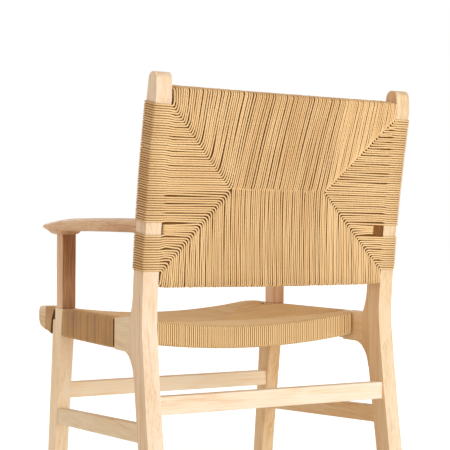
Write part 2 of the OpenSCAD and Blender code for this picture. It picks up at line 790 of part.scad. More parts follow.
place() rear_leg();  // rear_leg_left
place(-1) rear_leg();  // rear_leg_right
place() front_leg();  // front_leg_left
place(-1) front_leg();  // front_leg_right
place() arm_post();  // arm_post_left
place(-1) arm_post();  // arm_post_right
place() arm();  // arm_left
place(-1) arm();  // arm_right
place() side_rail();  // side_rail_left
place(-1) side_rail();  // side_rail_right
place() seat_rail(front_rail_front);  // seat_front_rail
place() seat_rail(rear_rail_front);  // seat_rear_rail
place() back_rail(top_rail_z);  // back_top_rail
place() back_rail(bottom_rail_z);  // back_bottom_rail
place() rear_stretcher();
place() front_stretcher();
place() side_stretcher();  // side_stretcher_left
place(-1) side_stretcher();  // side_stretcher_right
place() seat_cord();
place() back_cord();
place() seat_packing();
place() back_packing();
place() color(steel) both_sides() seat_tacks();  // seat_cord_tacks
place() color(steel) both_sides() back_tacks();  // back_cord_tacks
place() color(wood) arm_dowels(0);  // arm_dowels_left
place(-1) color(wood) arm_dowels(0);  // arm_dowels_right
place() color(steel) lap_screws(0);  // lap_screws_left
place(-1) color(steel) lap_screws(0);  // lap_screws_right
place() glide(front_foot());  // glide_front_left
place(-1) glide(front_foot());  // glide_front_right
place() glide(rear_foot());  // glide_rear_left
place(-1) glide(rear_foot());  // glide_rear_right
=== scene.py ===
"""Looks of the paper cord armchair: hardwood frame, paper cord seat and back."""

import math
import random
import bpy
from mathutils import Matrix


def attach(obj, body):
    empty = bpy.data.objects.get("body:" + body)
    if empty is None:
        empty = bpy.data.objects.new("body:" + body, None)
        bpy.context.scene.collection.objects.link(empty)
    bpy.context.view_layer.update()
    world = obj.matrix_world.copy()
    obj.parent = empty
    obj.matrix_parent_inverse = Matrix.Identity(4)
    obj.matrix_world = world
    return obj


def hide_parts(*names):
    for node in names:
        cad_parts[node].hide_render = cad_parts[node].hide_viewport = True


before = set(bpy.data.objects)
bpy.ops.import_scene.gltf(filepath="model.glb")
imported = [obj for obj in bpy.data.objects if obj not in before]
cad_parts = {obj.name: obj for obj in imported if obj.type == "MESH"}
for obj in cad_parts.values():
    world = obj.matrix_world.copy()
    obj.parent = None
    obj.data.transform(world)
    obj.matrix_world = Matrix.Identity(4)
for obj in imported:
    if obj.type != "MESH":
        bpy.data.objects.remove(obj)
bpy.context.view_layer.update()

from types import SimpleNamespace

import bmesh
import bpy
import numpy as np
from mathutils import Matrix, Vector

chance = random.Random(17)
MM = 0.001
SIDES = (("left", 1), ("right", -1))

# Sizes and places in millimetres, as in the CAD source. X runs to the sitter's left, Y to the back
# from the line where the rear legs bend, and Z up from the floor
HEEL_Y = 245.717
SEAT_H, BACK_H = 440, 877
HALF_W, LEG_IN, LAP_X = 270, 240, 252
GLIDE_T = 3
# Rear leg: its bend, its lean above and its splay below, its depths, its rounded top, its knee
BEND_Z, BEND_H = 436, 48
LEAN_LOW, LEAN_TOP, SPLAY_LOW, SPLAY_FOOT = (math.radians(a) for a in (3.4, 14.2, 6.8, 11.2))
FOOT_D, UNDER_BEND_D, OVER_BEND_D, TOP_D = 40, 48, 44, 41
TOP_R, TOP_EASE = 16, 14
REAR_JOINT_Y, FLARE_H, KNEE_R, KNEE_SHARE, KNEE_END = 55, 60, 50, 0.6, 8
# Front leg, with its shoulder for the side rail
LEG_FRONT_TOP, LEG_BACK_TOP, SHOULDER_Y, SHOULDER_H = -464, -410, -454, 25
FRONT_SPLAY, FRONT_FOOT_D = math.radians(5.6), 35
POST_Y, POST_D, ARM_UNDER = -428, 36, 595
# Side rail, with a nose and a chin ahead of the front leg. The cord wraps it between two places
SIDE_LOW, NOSE_TIP, NOSE_TOP_R, NOSE_LOW_R, NOSE_H, CHIN_GAP = 381, -560, 16, 22, 46, 14
NOSE_END, BARE_END = -516.2, -125.8
STRETCHER_T, STRETCHER_H, STRETCHER_INSET = 20, 33, 6
REAR_STRETCHER_Z, FRONT_STRETCHER_Z = 291, 266
SIDE_STRETCHER_REAR_Z, SIDE_STRETCHER_FRONT_Z, SIDE_STRETCHER_INSET = 241, 214, 3
# Rails inside the cord, and the board between its two layers
RAIL_T, RAIL_H, RAIL_DISH = 30, 38, 20
TOP_RAIL_Z, BOTTOM_RAIL_Z, BACK_RAIL_H, BACK_RAIL_T, BACK_INSET = 822, 503, 25, 28, 4
PACKING_COVER = 7
# Room that the cord takes, and the drawn cord's own radius: the turns lie a hair apart, and some
# stretches are fuller
CORD_D = 3.8
CORD_R = CORD_D / 2
CORD_DRAWN_R, FULL_CORD_R = 1.85, 1.93
FULL_CORD = ("back_cord_upper_corners", "seat_cord_rear")
# Outside of the cord on the seat and on the back, and how far the panels sink in their middles
SEAT_FRONT, SEAT_REAR = -550, -92
SEAT_MID = (SEAT_FRONT + SEAT_REAR) / 2
SEAT_HALF = (SEAT_REAR - SEAT_FRONT) / 2 + CORD_D
SEAT_UNDER = SEAT_H - CORD_D - RAIL_H - CORD_D
BACK_TOP = TOP_RAIL_Z + (BACK_RAIL_H + CORD_D) * math.cos(LEAN_TOP)
BACK_LOW = BOTTOM_RAIL_Z - CORD_D
BACK_MID = (BACK_TOP + BACK_LOW) / 2
SEAT_DIP, BACK_DIP = 8, 6


# Shape of the frame, from the same rules as the CAD source


def bent(h, a, b, full):
    """Way across at a height h of an edge that leans by a at its start and b at its full height."""
    return math.tan(a) * h + (math.tan(b) - math.tan(a)) * h * h / (2 * full)


def rear_y(z):
    """Back edge of the rear leg at a height."""
    if z > BEND_Z:
        return bent(z - BEND_Z, LEAN_LOW, LEAN_TOP, BACK_H - BEND_Z)
    return bent(BEND_Z - z, SPLAY_LOW, SPLAY_FOOT, BEND_Z)


def rear_lean(z):
    """Lean of that edge, negative where the leg splays."""
    if z > BEND_Z:
        share = (z - BEND_Z) / (BACK_H - BEND_Z)
        return math.atan(math.tan(LEAN_LOW) + (math.tan(LEAN_TOP) - math.tan(LEAN_LOW)) * share)
    share = (BEND_Z - z) / BEND_Z
    return -math.atan(math.tan(SPLAY_LOW) + (math.tan(SPLAY_FOOT) - math.tan(SPLAY_LOW)) * share)


def rear_d(z):
    if z > BEND_Z:
        return OVER_BEND_D + (TOP_D - OVER_BEND_D) * (z - BEND_Z) / (BACK_H - BEND_Z)
    return FOOT_D + (UNDER_BEND_D - FOOT_D) * z / BEND_Z


def front_y(z):
    return rear_y(z) - rear_d(z)


def top_share(z):
    return max(0, z - TOP_RAIL_Z) / (BACK_H - TOP_RAIL_Z)


def back_edge(z):
    """Back edge of the rear leg, which eases forwards above the top rail."""
    return rear_y(z) - TOP_EASE * top_share(z) ** 2


def back_edge_lean(z):
    ease = 2 * TOP_EASE * top_share(z) / (BACK_H - TOP_RAIL_Z)
    return math.degrees(math.atan(math.tan(rear_lean(z)) - ease))


def on_leg(z, b):
    """A point b ahead of the rear leg's back edge, square to the leg, as (y, z)."""
    lean = rear_lean(z)
    return rear_y(z) - b * math.cos(lean), z + b * math.sin(lean)


def leg_front(z):
    return LEG_FRONT_TOP - (SEAT_H - z) * math.tan(FRONT_SPLAY)


def leg_back(z):
    foot = leg_front(GLIDE_T) + FRONT_FOOT_D
    return LEG_BACK_TOP + (foot - LEG_BACK_TOP) * (SEAT_H - z) / (SEAT_H - GLIDE_T)


def side_z(y):
    """Middle height of the side stretcher, which falls towards the front."""
    fall = SIDE_STRETCHER_REAR_Z - SIDE_STRETCHER_FRONT_Z
    return SIDE_STRETCHER_REAR_Z - fall * y / LEG_BACK_TOP


def dish(x):
    return RAIL_DISH * (1 - (x / LEG_IN) ** 2)


def within(value, low, high):
    return max(low, min(high, value))


def smooth(t):
    t = within(t, 0, 1)
    return t * t * (3 - 2 * t)


def span(a, b, n):
    return [a + (b - a) * i / n for i in range(n + 1)]


def arc(centre, r, a0, a1, n):
    """Points on an arc, from one angle in degrees to another."""
    angles = [math.radians(d) for d in span(a0, a1, n)]
    return [(centre[0] + r * math.cos(a), centre[1] + r * math.sin(a)) for a in angles]


KNEE_C = (-REAR_JOINT_Y - KNEE_SHARE * KNEE_R, SIDE_LOW - KNEE_R)
KNEE_SPLIT = math.degrees(math.acos(KNEE_SHARE))
# Length of the straight that eases a curve into the next stretch
EASE_L = 8


def rear_leg_outline():
    top_z = BACK_H - TOP_R
    low, high = BEND_Z - BEND_H / 2, BEND_Z + BEND_H / 2
    # The bend eases from the slope of the splay into that of the lean
    slope_low, slope_high = -math.tan(SPLAY_LOW) * BEND_H, math.tan(LEAN_LOW) * BEND_H
    bend = []
    for t in span(0, 1, 8)[1:-1]:
        y = rear_y(low) * (1 - smooth(t)) + rear_y(high) * smooth(t)
        y += slope_low * t * (1 - t) ** 2 - slope_high * t * t * (1 - t)
        bend.append((y, low + BEND_H * t))
    flare_y = front_y(SEAT_H + FLARE_H)
    reach = REAR_JOINT_Y + flare_y
    flare_r = (FLARE_H**2 + reach**2) / (2 * reach)
    flare_a = math.degrees(math.asin(FLARE_H / flare_r))
    knee_low = KNEE_C[1] + KNEE_R * math.sin(math.radians(KNEE_END))
    return (
        [(rear_y(z), z) for z in span(GLIDE_T, low, 40)]
        + bend
        + [(rear_y(z), z) for z in span(high, TOP_RAIL_Z, 36)]
        + [(back_edge(z), z) for z in span(TOP_RAIL_Z + EASE_L, top_z - EASE_L, 6)]
        + arc((back_edge(top_z) - TOP_R, top_z), TOP_R, back_edge_lean(top_z), 90, 12)
        + arc((front_y(top_z) + TOP_R, top_z), TOP_R, 90, 180, 12)
        + [(front_y(z), z) for z in span(top_z - EASE_L, SEAT_H + FLARE_H, 40)]
        + arc((flare_y - flare_r, SEAT_H + FLARE_H), flare_r, -2, -flare_a, 14)
        + arc(KNEE_C, KNEE_R, KNEE_SPLIT, KNEE_END, 10)
        + [(front_y(z), z) for z in span(knee_low - EASE_L, GLIDE_T, 40)]
    )


def front_leg_outline():
    drop = SEAT_H - SHOULDER_H
    return [
        (leg_back(GLIDE_T), GLIDE_T),
        (LEG_BACK_TOP, SEAT_H),
        (SHOULDER_Y, SEAT_H),
        (SHOULDER_Y, drop),
        (leg_front(drop), drop),
        (leg_front(GLIDE_T), GLIDE_T),
    ]


def clipped(outline, y, side):
    """The part of an outline on one side of a line across Y."""
    kept = []
    for a, b in zip(outline, outline[1:] + outline[:1]):
        inside_a, inside_b = (a[0] - y) * side >= 0, (b[0] - y) * side >= 0
        if inside_a:
            kept.append(a)
        if inside_a != inside_b:
            t = (y - a[0]) / (b[0] - a[0])
            kept.append((y, a[1] + (b[1] - a[1]) * t))
    return kept


def side_rail_outline(cut, y0, y1):
    """Side rail between two places along Y, made smaller by cut where the cord wraps it."""
    top_c = (NOSE_TIP + NOSE_TOP_R, SEAT_H - NOSE_TOP_R)
    low_c = (NOSE_TIP + NOSE_LOW_R, SEAT_H - NOSE_H + NOSE_LOW_R)
    outline = (
        [(-REAR_JOINT_Y + 4, SEAT_H - cut)]
        + arc(top_c, NOSE_TOP_R - cut, 90, 180, 10)
        + arc(low_c, NOSE_LOW_R - cut, 180, 270, 12)
        + [(leg_front(SIDE_LOW) - CHIN_GAP, SIDE_LOW + cut), (KNEE_C[0], SIDE_LOW + cut)]
        + arc(KNEE_C, KNEE_R + cut, 90, KNEE_SPLIT - 4, 8)
    )
    return clipped(clipped(outline, y0, 1), y1, -1)


# Mesh makers

# Edges sharper than this get a rounded arris
ARRIS_ANGLE = math.radians(32)


def row(x, y, z):
    """A point in the source's millimetres as metres in the row frame."""
    return Vector((x * MM, (y + HEEL_Y) * MM, z * MM))


def object_of(name, mesh, material):
    piece = bpy.data.objects.new(name, mesh)
    bpy.context.scene.collection.objects.link(piece)
    mesh.materials.clear()
    mesh.materials.append(material)
    return piece


def skin(bm, rings):
    """Closes the sides between rings of vertices, each with the next one."""
    for a, b in zip(rings, rings[1:]):
        for j in range(len(a)):
            k = (j + 1) % len(a)
            bm.faces.new((a[j], b[j], b[k], a[k]))


def loft(bm, rings):
    """Adds a closed solid through rings of points."""
    made = [[bm.verts.new(row(*p)) for p in ring] for ring in rings]
    bm.faces.new(made[0])
    bm.faces.new(made[-1][::-1])
    skin(bm, made)


def prism(bm, outline, x0, x1, side=1):
    """Adds a straight solid whose (y, z) outline runs from one place on X to another."""
    loft(bm, [[(side * x, *p) for p in outline] for x in (x0, x1)])


def box(bm, lo, hi):
    prism(bm, [(lo[1], lo[2]), (hi[1], lo[2]), (hi[1], hi[2]), (lo[1], hi[2])], lo[0], hi[0])


def mesh_from(name, bm):
    mesh = bpy.data.meshes.new(name)
    bm.to_mesh(mesh)
    bm.free()
    return mesh


def bake(piece):
    """Turns what a piece's modifiers make into its plain mesh."""
    bpy.context.view_layer.update()
    graph = bpy.context.evaluated_depsgraph_get()
    final = bpy.data.meshes.new_from_object(
        piece.evaluated_get(graph), preserve_all_data_layers=True, depsgraph=graph
    )
    final.name = piece.name
    piece.modifiers.clear()
    piece.data = final


def stand_for(piece, node):
    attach(piece, "root")
    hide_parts(node)


def turned(name, bm, material, arris, node, cutter=None, steps=3, share_at=None):
    """Finishes a piece: the cutter is taken out, arrises are rounded, and it stands for its node.

    share_at gives the share of the arris that an edge gets at its height, where that changes along
    the piece."""
    bmesh.ops.recalc_face_normals(bm, faces=bm.faces)
    if share_at:
        weight = bm.edges.layers.float.new("bevel_weight_edge")
        for edge in bm.edges:
            if edge.calc_face_angle(0) > ARRIS_ANGLE:
                edge[weight] = share_at(sum(v.co.z for v in edge.verts) / 2 / MM)
    piece = object_of(name, mesh_from(name, bm), material)
    knife = None
    if cutter is not None:
        bmesh.ops.recalc_face_normals(cutter, faces=cutter.faces)
        knife = object_of(name + "_cut", mesh_from(name + "_cut", cutter), material)
        cut = piece.modifiers.new("cut", "BOOLEAN")
        cut.operation, cut.object, cut.solver = "DIFFERENCE", knife, "EXACT"
    if arris:
        bevel = piece.modifiers.new("arris", "BEVEL")
        bevel.limit_method, bevel.angle_limit = "WEIGHT" if share_at else "ANGLE", ARRIS_ANGLE
        bevel.width, bevel.segments = arris * MM, steps
        bevel.harden_normals = True
    for face in piece.data.polygons:
        face.use_smooth = True
    bake(piece)
    if knife:
        bpy.data.objects.remove(knife)
    stand_for(piece, node)


# Materials


def linear(hex_colour):
    """An sRGB hex colour as linear RGBA."""
    parts = [int(hex_colour[i : i + 2], 16) / 255 for i in (1, 3, 5)]
    return [c / 12.92 if c <= 0.04045 else ((c + 0.055) / 1.055) ** 2.4 for c in parts] + [1]


def add(tree, kind, wires=None, values=None, stops=(), **settings):
    """Adds a node with its settings, its unlinked values, its links and its colour stops.

    A wire that comes from a node starts at the node's first output."""
    made = tree.nodes.new(kind)
    for name, value in settings.items():
        setattr(made, name, value)
    for socket, value in (values or {}).items():
        made.inputs[socket].default_value = value
    for socket, source in (wires or {}).items():
        start = source.outputs[0] if isinstance(source, bpy.types.Node) else source
        tree.links.new(start, made.inputs[socket])
    if stops:
        bar = made.color_ramp.elements
        while len(bar) < len(stops):
            bar.new(0.5)
        for element, (place, colour) in zip(bar, stops):
            element.position, element.color = place, linear(colour)
    return made


def cleared(owner):
    """The empty node tree of a material or a world."""
    owner.use_nodes = True
    owner.node_tree.nodes.clear()
    return owner.node_tree


def surfaced(material, tree, wires, values):
    """Ends a material in its shader, with what varies over the surface wired and the rest set."""
    shader = add(tree, "ShaderNodeBsdfPrincipled", wires, values)
    add(tree, "ShaderNodeOutputMaterial", {"Surface": shader})
    return material


def limits(*values):
    """The four limits of a Map Range node."""
    return dict(zip(("From Min", "From Max", "To Min", "To Max"), values))


# Width across the board and length along it, in mm, of each part of the grain
FIGURE, FIBRE, DRIFT, FLECK, PORE = (13, 182), (1.86, 62.5), (92.8, 455), (7.85, 143), (0.4, 16.7)
# Where the dark, middle and light tone lie on the mixed noise, which keeps close to its middle
TONE_PLACES = (0.38, 0.47, 0.58)
FLECK_BROWN = "#A97F4E"
PORE_DEPTH = 0.2


def hardwood(name, grain, tones, seed, side_light_tones=None):
    """Pale planed hardwood under a matt clear oil: straight fibre, soft growth bands, few flecks.

    grain is the axis that the board's length follows. tones are its light, middle and dark tone,
    and the side tones those of its faces towards +X and -X, which hold painted light and shade."""
    material = bpy.data.materials.new(name)
    tree = cleared(material)
    place = add(tree, "ShaderNodeTexCoord").outputs["Object"]

    def part_of_grain(size, **values):
        width, length = (1 / (side * MM) for side in size)
        stretched = {
            "Location": (seed, seed * 1.7, seed * 0.6),
            "Scale": [length if axis == grain else width for axis in "xyz"],
        }
        place_in_grain = add(tree, "ShaderNodeMapping", {"Vector": place}, stretched)
        return add(tree, "ShaderNodeTexNoise", {"Vector": place_in_grain}, {"Scale": 1, **values})

    figure = part_of_grain(FIGURE, Detail=3, Roughness=0.55, Distortion=0.8)
    fibre = part_of_grain(FIBRE, Detail=4, Roughness=0.65)
    drift = part_of_grain(DRIFT, Detail=1)
    flecks = part_of_grain(FLECK, Detail=2, Distortion=1.2)
    pores = part_of_grain(PORE, Detail=2)

    total = add(tree, "ShaderNodeMath", {0: figure, 1: fibre}, operation="ADD")
    total = add(tree, "ShaderNodeMath", {0: total, 1: drift}, operation="ADD")
    mean = add(tree, "ShaderNodeMath", {0: total}, {1: 3}, operation="DIVIDE")
    tone = add(tree, "ShaderNodeValToRGB", {"Fac": mean}, stops=list(zip(TONE_PLACES, tones[::-1])))
    # Painted light and shade: faces towards +X and -X take their own lighter or darker tones
    if side_light_tones:
        side_light_stops = list(zip(TONE_PLACES, side_light_tones[::-1]))
        painted_side_tone = add(tree, "ShaderNodeValToRGB", {"Fac": mean}, stops=side_light_stops)
        normal = add(tree, "ShaderNodeNewGeometry").outputs["True Normal"]
        across = add(tree, "ShaderNodeSeparateXYZ", {"Vector": normal})
        across = add(tree, "ShaderNodeMath", {0: across}, operation="ABSOLUTE")
        share = add(tree, "ShaderNodeMapRange", {"Value": across}, limits(0.5, 0.9, 0, 1))
        wires = {"Factor": share, 6: tone, 7: painted_side_tone}
        tone = add(tree, "ShaderNodeMix", wires, data_type="RGBA").outputs[2]
    share = add(tree, "ShaderNodeMapRange", {"Value": flecks}, limits(0.65, 0.78, 0, 0.55))
    brown = {7: linear(FLECK_BROWN)}
    colour = add(tree, "ShaderNodeMix", {"Factor": share, 6: tone}, brown, data_type="RGBA")
    bump = {"Strength": 0.25, "Distance": PORE_DEPTH * MM}
    relief = add(tree, "ShaderNodeBump", {"Height": pores}, bump)
    gloss = add(tree, "ShaderNodeMapRange", {"Value": fibre}, limits(0.3, 0.7, 0.58, 0.46))
    wires = {"Base Color": colour.outputs[2], "Normal": relief, "Roughness": gloss}
    return surfaced(material, tree, wires, {"Specular IOR Level": 0.4})


# Paper cord: three strands, each once round in a lay of 15 mm, and the depth of the creases
# between them. Its fibres and patches, in mm
STRANDS, LAY, CREASE_DEPTH = 3, 15, 0.5
CORD_FIBRE, CORD_PATCH = 1.111, 71.4
CORD_TONES = (
    (0.25, "#9D856C"),
    (0.45, "#BC9F83"),
    (0.63, "#E5BA80"),
    (0.85, "#F6D39E"),
    (1.0, "#FFDFA9"),
)
# Colour of the painted shade in the creases and on the flanks
CORD_SHADE = "#774512"
CLOUD_DEPTH = 0.2


def paper_cord():
    """Natural twisted kraft paper cord: matt, straw brown, with the strands' creases, which get
    painted shade.

    It reads what each turn keeps: the place round and along the cord, its tone, and how far its
    surface faces away from the frame, which sets the painted shade on its flanks."""
    material = bpy.data.materials.new("paper_cord_twisted_kraft")
    tree = cleared(material)
    kept = {
        name: add(tree, "ShaderNodeAttribute", attribute_name=name).outputs["Fac"]
        for name in ("turn_cos", "turn_sin", "run", "tone", "outward")
    }
    around = {0: kept["turn_sin"], 1: kept["turn_cos"]}
    angle = add(tree, "ShaderNodeMath", around, operation="ARCTAN2")
    per_metre = {1: STRANDS * math.pi / (LAY * MM)}
    along = add(tree, "ShaderNodeMath", {0: kept["run"]}, per_metre, operation="MULTIPLY")
    twist = {0: angle, 2: along}
    wave = add(tree, "ShaderNodeMath", twist, {1: STRANDS / 2}, operation="MULTIPLY_ADD")
    wave = add(tree, "ShaderNodeMath", {0: wave}, operation="SINE")
    strand = add(tree, "ShaderNodeMath", {0: wave}, operation="ABSOLUTE")

    place = add(tree, "ShaderNodeTexCoord").outputs["Object"]
    fibre_size, patch_size = {"Scale": 1 / (CORD_FIBRE * MM)}, {"Scale": 1 / (CORD_PATCH * MM)}
    fibre = add(tree, "ShaderNodeTexNoise", {"Vector": place}, {**fibre_size, "Detail": 3})
    patch = add(tree, "ShaderNodeTexNoise", {"Vector": place}, {**patch_size, "Detail": 2})
    tone = kept["tone"]
    for noise, share in ((patch, 0.25), (fibre, 0.35)):
        wires = {0: noise, 2: tone}
        tone = add(tree, "ShaderNodeMath", wires, {1: share}, operation="MULTIPLY_ADD")
    body = add(tree, "ShaderNodeValToRGB", {"Fac": tone}, stops=CORD_TONES)

    # Painted shade: darker in the strands' creases, and on the flanks of a turn that face its
    # neighbours and the frame, where they would shade it
    crease_shade = add(tree, "ShaderNodeMapRange", {"Value": strand}, limits(0, 0.4, 0.18, 0))
    flank_shade = add(tree, "ShaderNodeMapRange", {"Value": kept["outward"]}, limits(0.15, 0.88, 0.72, 0))
    shade = add(tree, "ShaderNodeMath", {0: crease_shade, 1: flank_shade}, operation="MAXIMUM")
    wires, dark = {"Factor": shade, 6: body}, {7: linear(CORD_SHADE)}
    colour = add(tree, "ShaderNodeMix", wires, dark, data_type="RGBA")
    bump = {"Strength": 0.35, "Distance": CREASE_DEPTH * MM}
    relief = add(tree, "ShaderNodeBump", {"Height": strand}, bump)
    wires = {"Base Color": colour.outputs[2], "Normal": relief}
    return surfaced(material, tree, wires, {"Roughness": 0.72, "Specular IOR Level": 0.35})


def plain(name, dark, light, cloud, roughness, metallic=0.0):
    """A small part's finish, with a slight change of tone in clouds of a size in mm."""
    material = bpy.data.materials.new(name)
    tree = cleared(material)
    place = add(tree, "ShaderNodeTexCoord").outputs["Object"]
    size = {"Scale": 1 / (cloud * MM), "Detail": 3}
    clouds = add(tree, "ShaderNodeTexNoise", {"Vector": place}, size)
    colour = add(tree, "ShaderNodeValToRGB", {"Fac": clouds}, stops=((0.35, dark), (0.65, light)))
    bump = {"Strength": 0.2, "Distance": CLOUD_DEPTH * MM}
    relief = add(tree, "ShaderNodeBump", {"Height": clouds}, bump)
    wires = {"Base Color": colour, "Normal": relief}
    return surfaced(material, tree, wires, {"Roughness": roughness, "Metallic": metallic})


# The boards' tones, each from light to dark. Some of them hold painted light and shade, as said
# where they stand
PALEST = ("#FDF0DE", "#F9E6CC", "#EACCA8")
PALE = ("#F9E8D2", "#F2DABC", "#E1C09A")
BRIGHT_HONEY = ("#FFF4DE", "#FFEDCF", "#F4D7AC")
HONEY = ("#FFF1D9", "#FCE5C2", "#ECCC9F")
MIDDLING = ("#F4E4C8", "#EDD5B0", "#DABA8D")
# Painted shade and bounce light: the right rear leg's faces towards +X and -X, warmer and a little
# darker
MIDDLING_SIDE_SHADED = ("#F3DBBA", "#ECCBA0", "#DAB07F")
WARM = ("#F2D9B2", "#E8C595", "#D2A570")
ARM_WOOD = ("#EACBA6", "#D4A87F", "#AE7D54")
# Arm posts: front, back and top darker, partly the posts' browner wood and partly painted shade;
# their faces towards +X and -X paler, as painted light
POST_WOOD_AND_SHADE = ("#D2A87F", "#BF8F66", "#976843")
POST_SIDE_LIT = ("#F7D8BA", "#EFCBAB", "#D8AD88")
# Planed but not oiled, under the cord
BARE_WOOD = ("#B0834F", "#9C6F40", "#835A32")
BEECH = ("#E2C08E", "#D6B07C", "#C29A66")
wood = {
    "rear_leg_left": hardwood("hardwood_oiled_pale_upright", "z", PALE, 0.0),
    "rear_leg_right": hardwood("hardwood_oiled_upright", "z", MIDDLING, 4.4, MIDDLING_SIDE_SHADED),
    "front_leg_left": hardwood("hardwood_oiled_honey_upright", "z", HONEY, 7.7),
    "front_leg_right": hardwood("hardwood_oiled_warm_upright", "z", WARM, 6.1),
    "rear_stretcher": hardwood("hardwood_oiled_pale_cross_grain", "x", PALEST, 3.1),
    "front_stretcher": hardwood("hardwood_oiled_honey_cross_grain", "x", BRIGHT_HONEY, 1.3),
    "side_left": hardwood("hardwood_oiled_side_grain", "y", MIDDLING, 5.3),
    "side_right": hardwood("hardwood_oiled_warm_side_grain", "y", WARM, 9.6),
    "arm": hardwood("hardwood_oiled_arm_grain", "y", ARM_WOOD, 8.2),
    "arm_post": hardwood("hardwood_oiled_arm_post_grain", "z", POST_WOOD_AND_SHADE, 1.9, POST_SIDE_LIT),
    "rail": hardwood("hardwood_bare_cross_grain", "x", BARE_WOOD, 4.9),
}
cord_finish = paper_cord()
# Sheets under the turns, coloured as painted shade for the gaps between the turns: in the panels
# the hidden cord, deeper brown, on the side rails darker still, and on the legs paler
under_cord_painted_shade = plain("cord_under_layer_painted_shade", "#744813", "#86581F", 3.33, 0.9)
rail_sleeve_shade = plain("rail_gap_painted_shade", "#5E3D22", "#704B2B", 3.33, 0.9)
leg_sleeve_shade = plain("leg_gap_painted_shade", "#C29560", "#D0A671", 3.33, 0.9)
# Brown kraft board, matt
packing_board = plain("packing_kraft_board", "#A67C48", "#BC9058", 16.7, 0.9)
# The CAD's small parts: bright zinc-plated steel of screws and tacks, off-white satin nylon of the
# glides, and fluted beech dowels
zinc_steel = plain("steel_zinc_plated", "#A9ABAA", "#C9CAC8", 3.33, 0.35, 1.0)
small_part_finish = {
    "glide": plain("nylon_glide_moulded", "#D8D4CA", "#E4E0D6", 5, 0.45),
    "lap_screws": zinc_steel,
    "seat_cord_tacks": zinc_steel,
    "back_cord_tacks": zinc_steel,
    "arm_dowels": hardwood("beech_dowel", "y", BEECH, 2.4),
}
for name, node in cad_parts.items():
    for start, finish in small_part_finish.items():
        if name.startswith(start):
            node.data.materials.clear()
            node.data.materials.append(finish)

# Wooden pieces

# Rounding of the arrises: of the uprights, of the other boards, of the rails, and of the rear legs,
# whose arrises widen towards their top ends
UPRIGHT_ARRIS, BOARD_ARRIS, RAIL_ARRIS = 1.8, 2, 3
LEG_ARRIS, LEG_TOP_ARRIS, ARRIS_EASE_Z, ARRIS_EASE_H = 2.2, 5.5, BACK_H - 26, 20
# How far boards run on into what carries them, and the room around a rail inside the cord
RUN_IN, RAIL_RUN_IN, CLEAR = 4, 3, 0.3
# How far the cutter of the lap stands past the leg, and past its inner side
CUT_PAST, CUT_INSIDE = 30, 20


def leg_arris_share(z):
    widened = (LEG_TOP_ARRIS - LEG_ARRIS) * smooth((z - ARRIS_EASE_Z) / ARRIS_EASE_H)
    return (LEG_ARRIS + widened) / LEG_TOP_ARRIS


for word, side in SIDES:
    node = "rear_leg_" + word
    bm = bmesh.new()
    prism(bm, rear_leg_outline(), LEG_IN, HALF_W, side)
    turned(
        node + "_planed", bm, wood[node], LEG_TOP_ARRIS, node, steps=4, share_at=leg_arris_share
    )

    node = "front_leg_" + word
    bm, lap = bmesh.new(), bmesh.new()
    prism(bm, front_leg_outline(), LEG_IN, HALF_W, side)
    y0, y1, top = LEG_FRONT_TOP - CUT_PAST, LEG_BACK_TOP + CUT_PAST, SEAT_H + CUT_PAST
    lap_outline = [(y0, SIDE_LOW), (y1, SIDE_LOW), (y1, top), (y0, top)]
    prism(lap, lap_outline, LEG_IN - CUT_INSIDE, LAP_X, side)
    turned(node + "_planed", bm, wood[node], UPRIGHT_ARRIS, node, cutter=lap)

    node = "arm_post_" + word
    bm = bmesh.new()
    lo, hi = sorted((side * LEG_IN, side * HALF_W))
    half_d = POST_D / 2
    box(bm, (lo, POST_Y - half_d, SEAT_H + 0.1), (hi, POST_Y + half_d, ARM_UNDER + RUN_IN))
    turned(node + "_planed", bm, wood["arm_post"], BOARD_ARRIS, node)

    node = "side_rail_" + word
    bm = bmesh.new()
    # The bare nose, the slimmer stretch under the cord, the lap in the front leg, the bare rear end
    for cut, y0, y1, x0, x1 in (
        (0, NOSE_TIP - 1, NOSE_END, LEG_IN, HALF_W),
        (CORD_D, NOSE_END - 6, BARE_END + 6, LEG_IN + 0.05, HALF_W - CORD_D),
        (0, SHOULDER_Y, LEG_BACK_TOP, LEG_IN, LAP_X),
        (0, BARE_END, -REAR_JOINT_Y + 2, LEG_IN, HALF_W),
    ):
        prism(bm, side_rail_outline(cut, y0, y1), x0, x1, side)
    turned(node + "_planed", bm, wood["side_" + word], UPRIGHT_ARRIS, node)

    node = "side_stretcher_" + word
    bm = bmesh.new()
    y0, y1 = leg_back(SIDE_STRETCHER_FRONT_Z) - 6, front_y(SIDE_STRETCHER_REAR_Z) + 6
    under = [(y, side_z(y) - STRETCHER_H / 2) for y in (y0, y1)]
    over = [(y, side_z(y) + STRETCHER_H / 2) for y in (y1, y0)]
    outer = HALF_W - SIDE_STRETCHER_INSET
    prism(bm, under + over, outer - STRETCHER_T, outer, side)
    turned(node + "_planed", bm, wood["side_" + word], BOARD_ARRIS, node)

for node, back_y, z in (
    ("rear_stretcher", rear_y(REAR_STRETCHER_Z), REAR_STRETCHER_Z),
    ("front_stretcher", leg_back(FRONT_STRETCHER_Z), FRONT_STRETCHER_Z),
):
    bm = bmesh.new()
    x, y, half_h = LEG_IN + RUN_IN, back_y - STRETCHER_INSET, STRETCHER_H / 2
    box(bm, (-x, y - STRETCHER_T, z - half_h), (x, y, z + half_h))
    turned(node + "_planed", bm, wood[node], BOARD_ARRIS, node)

for node, front in (("seat_front_rail", SEAT_FRONT), ("seat_rear_rail", SEAT_REAR - RAIL_T)):
    bm = bmesh.new()
    top, low = SEAT_H - CORD_D - CLEAR, SEAT_H - CORD_D - RAIL_H + CLEAR
    x_end = LEG_IN + RAIL_RUN_IN
    outline = [(x, top - dish(x)) for x in span(-x_end, x_end, 32)]
    outline += [(x, low - dish(x)) for x in span(x_end, -x_end, 32)]
    loft(bm, [[(x, y, z) for x, z in outline] for y in (front + CLEAR, front + RAIL_T - CLEAR)])
    turned(node + "_shaped", bm, wood["rail"], RAIL_ARRIS, node)

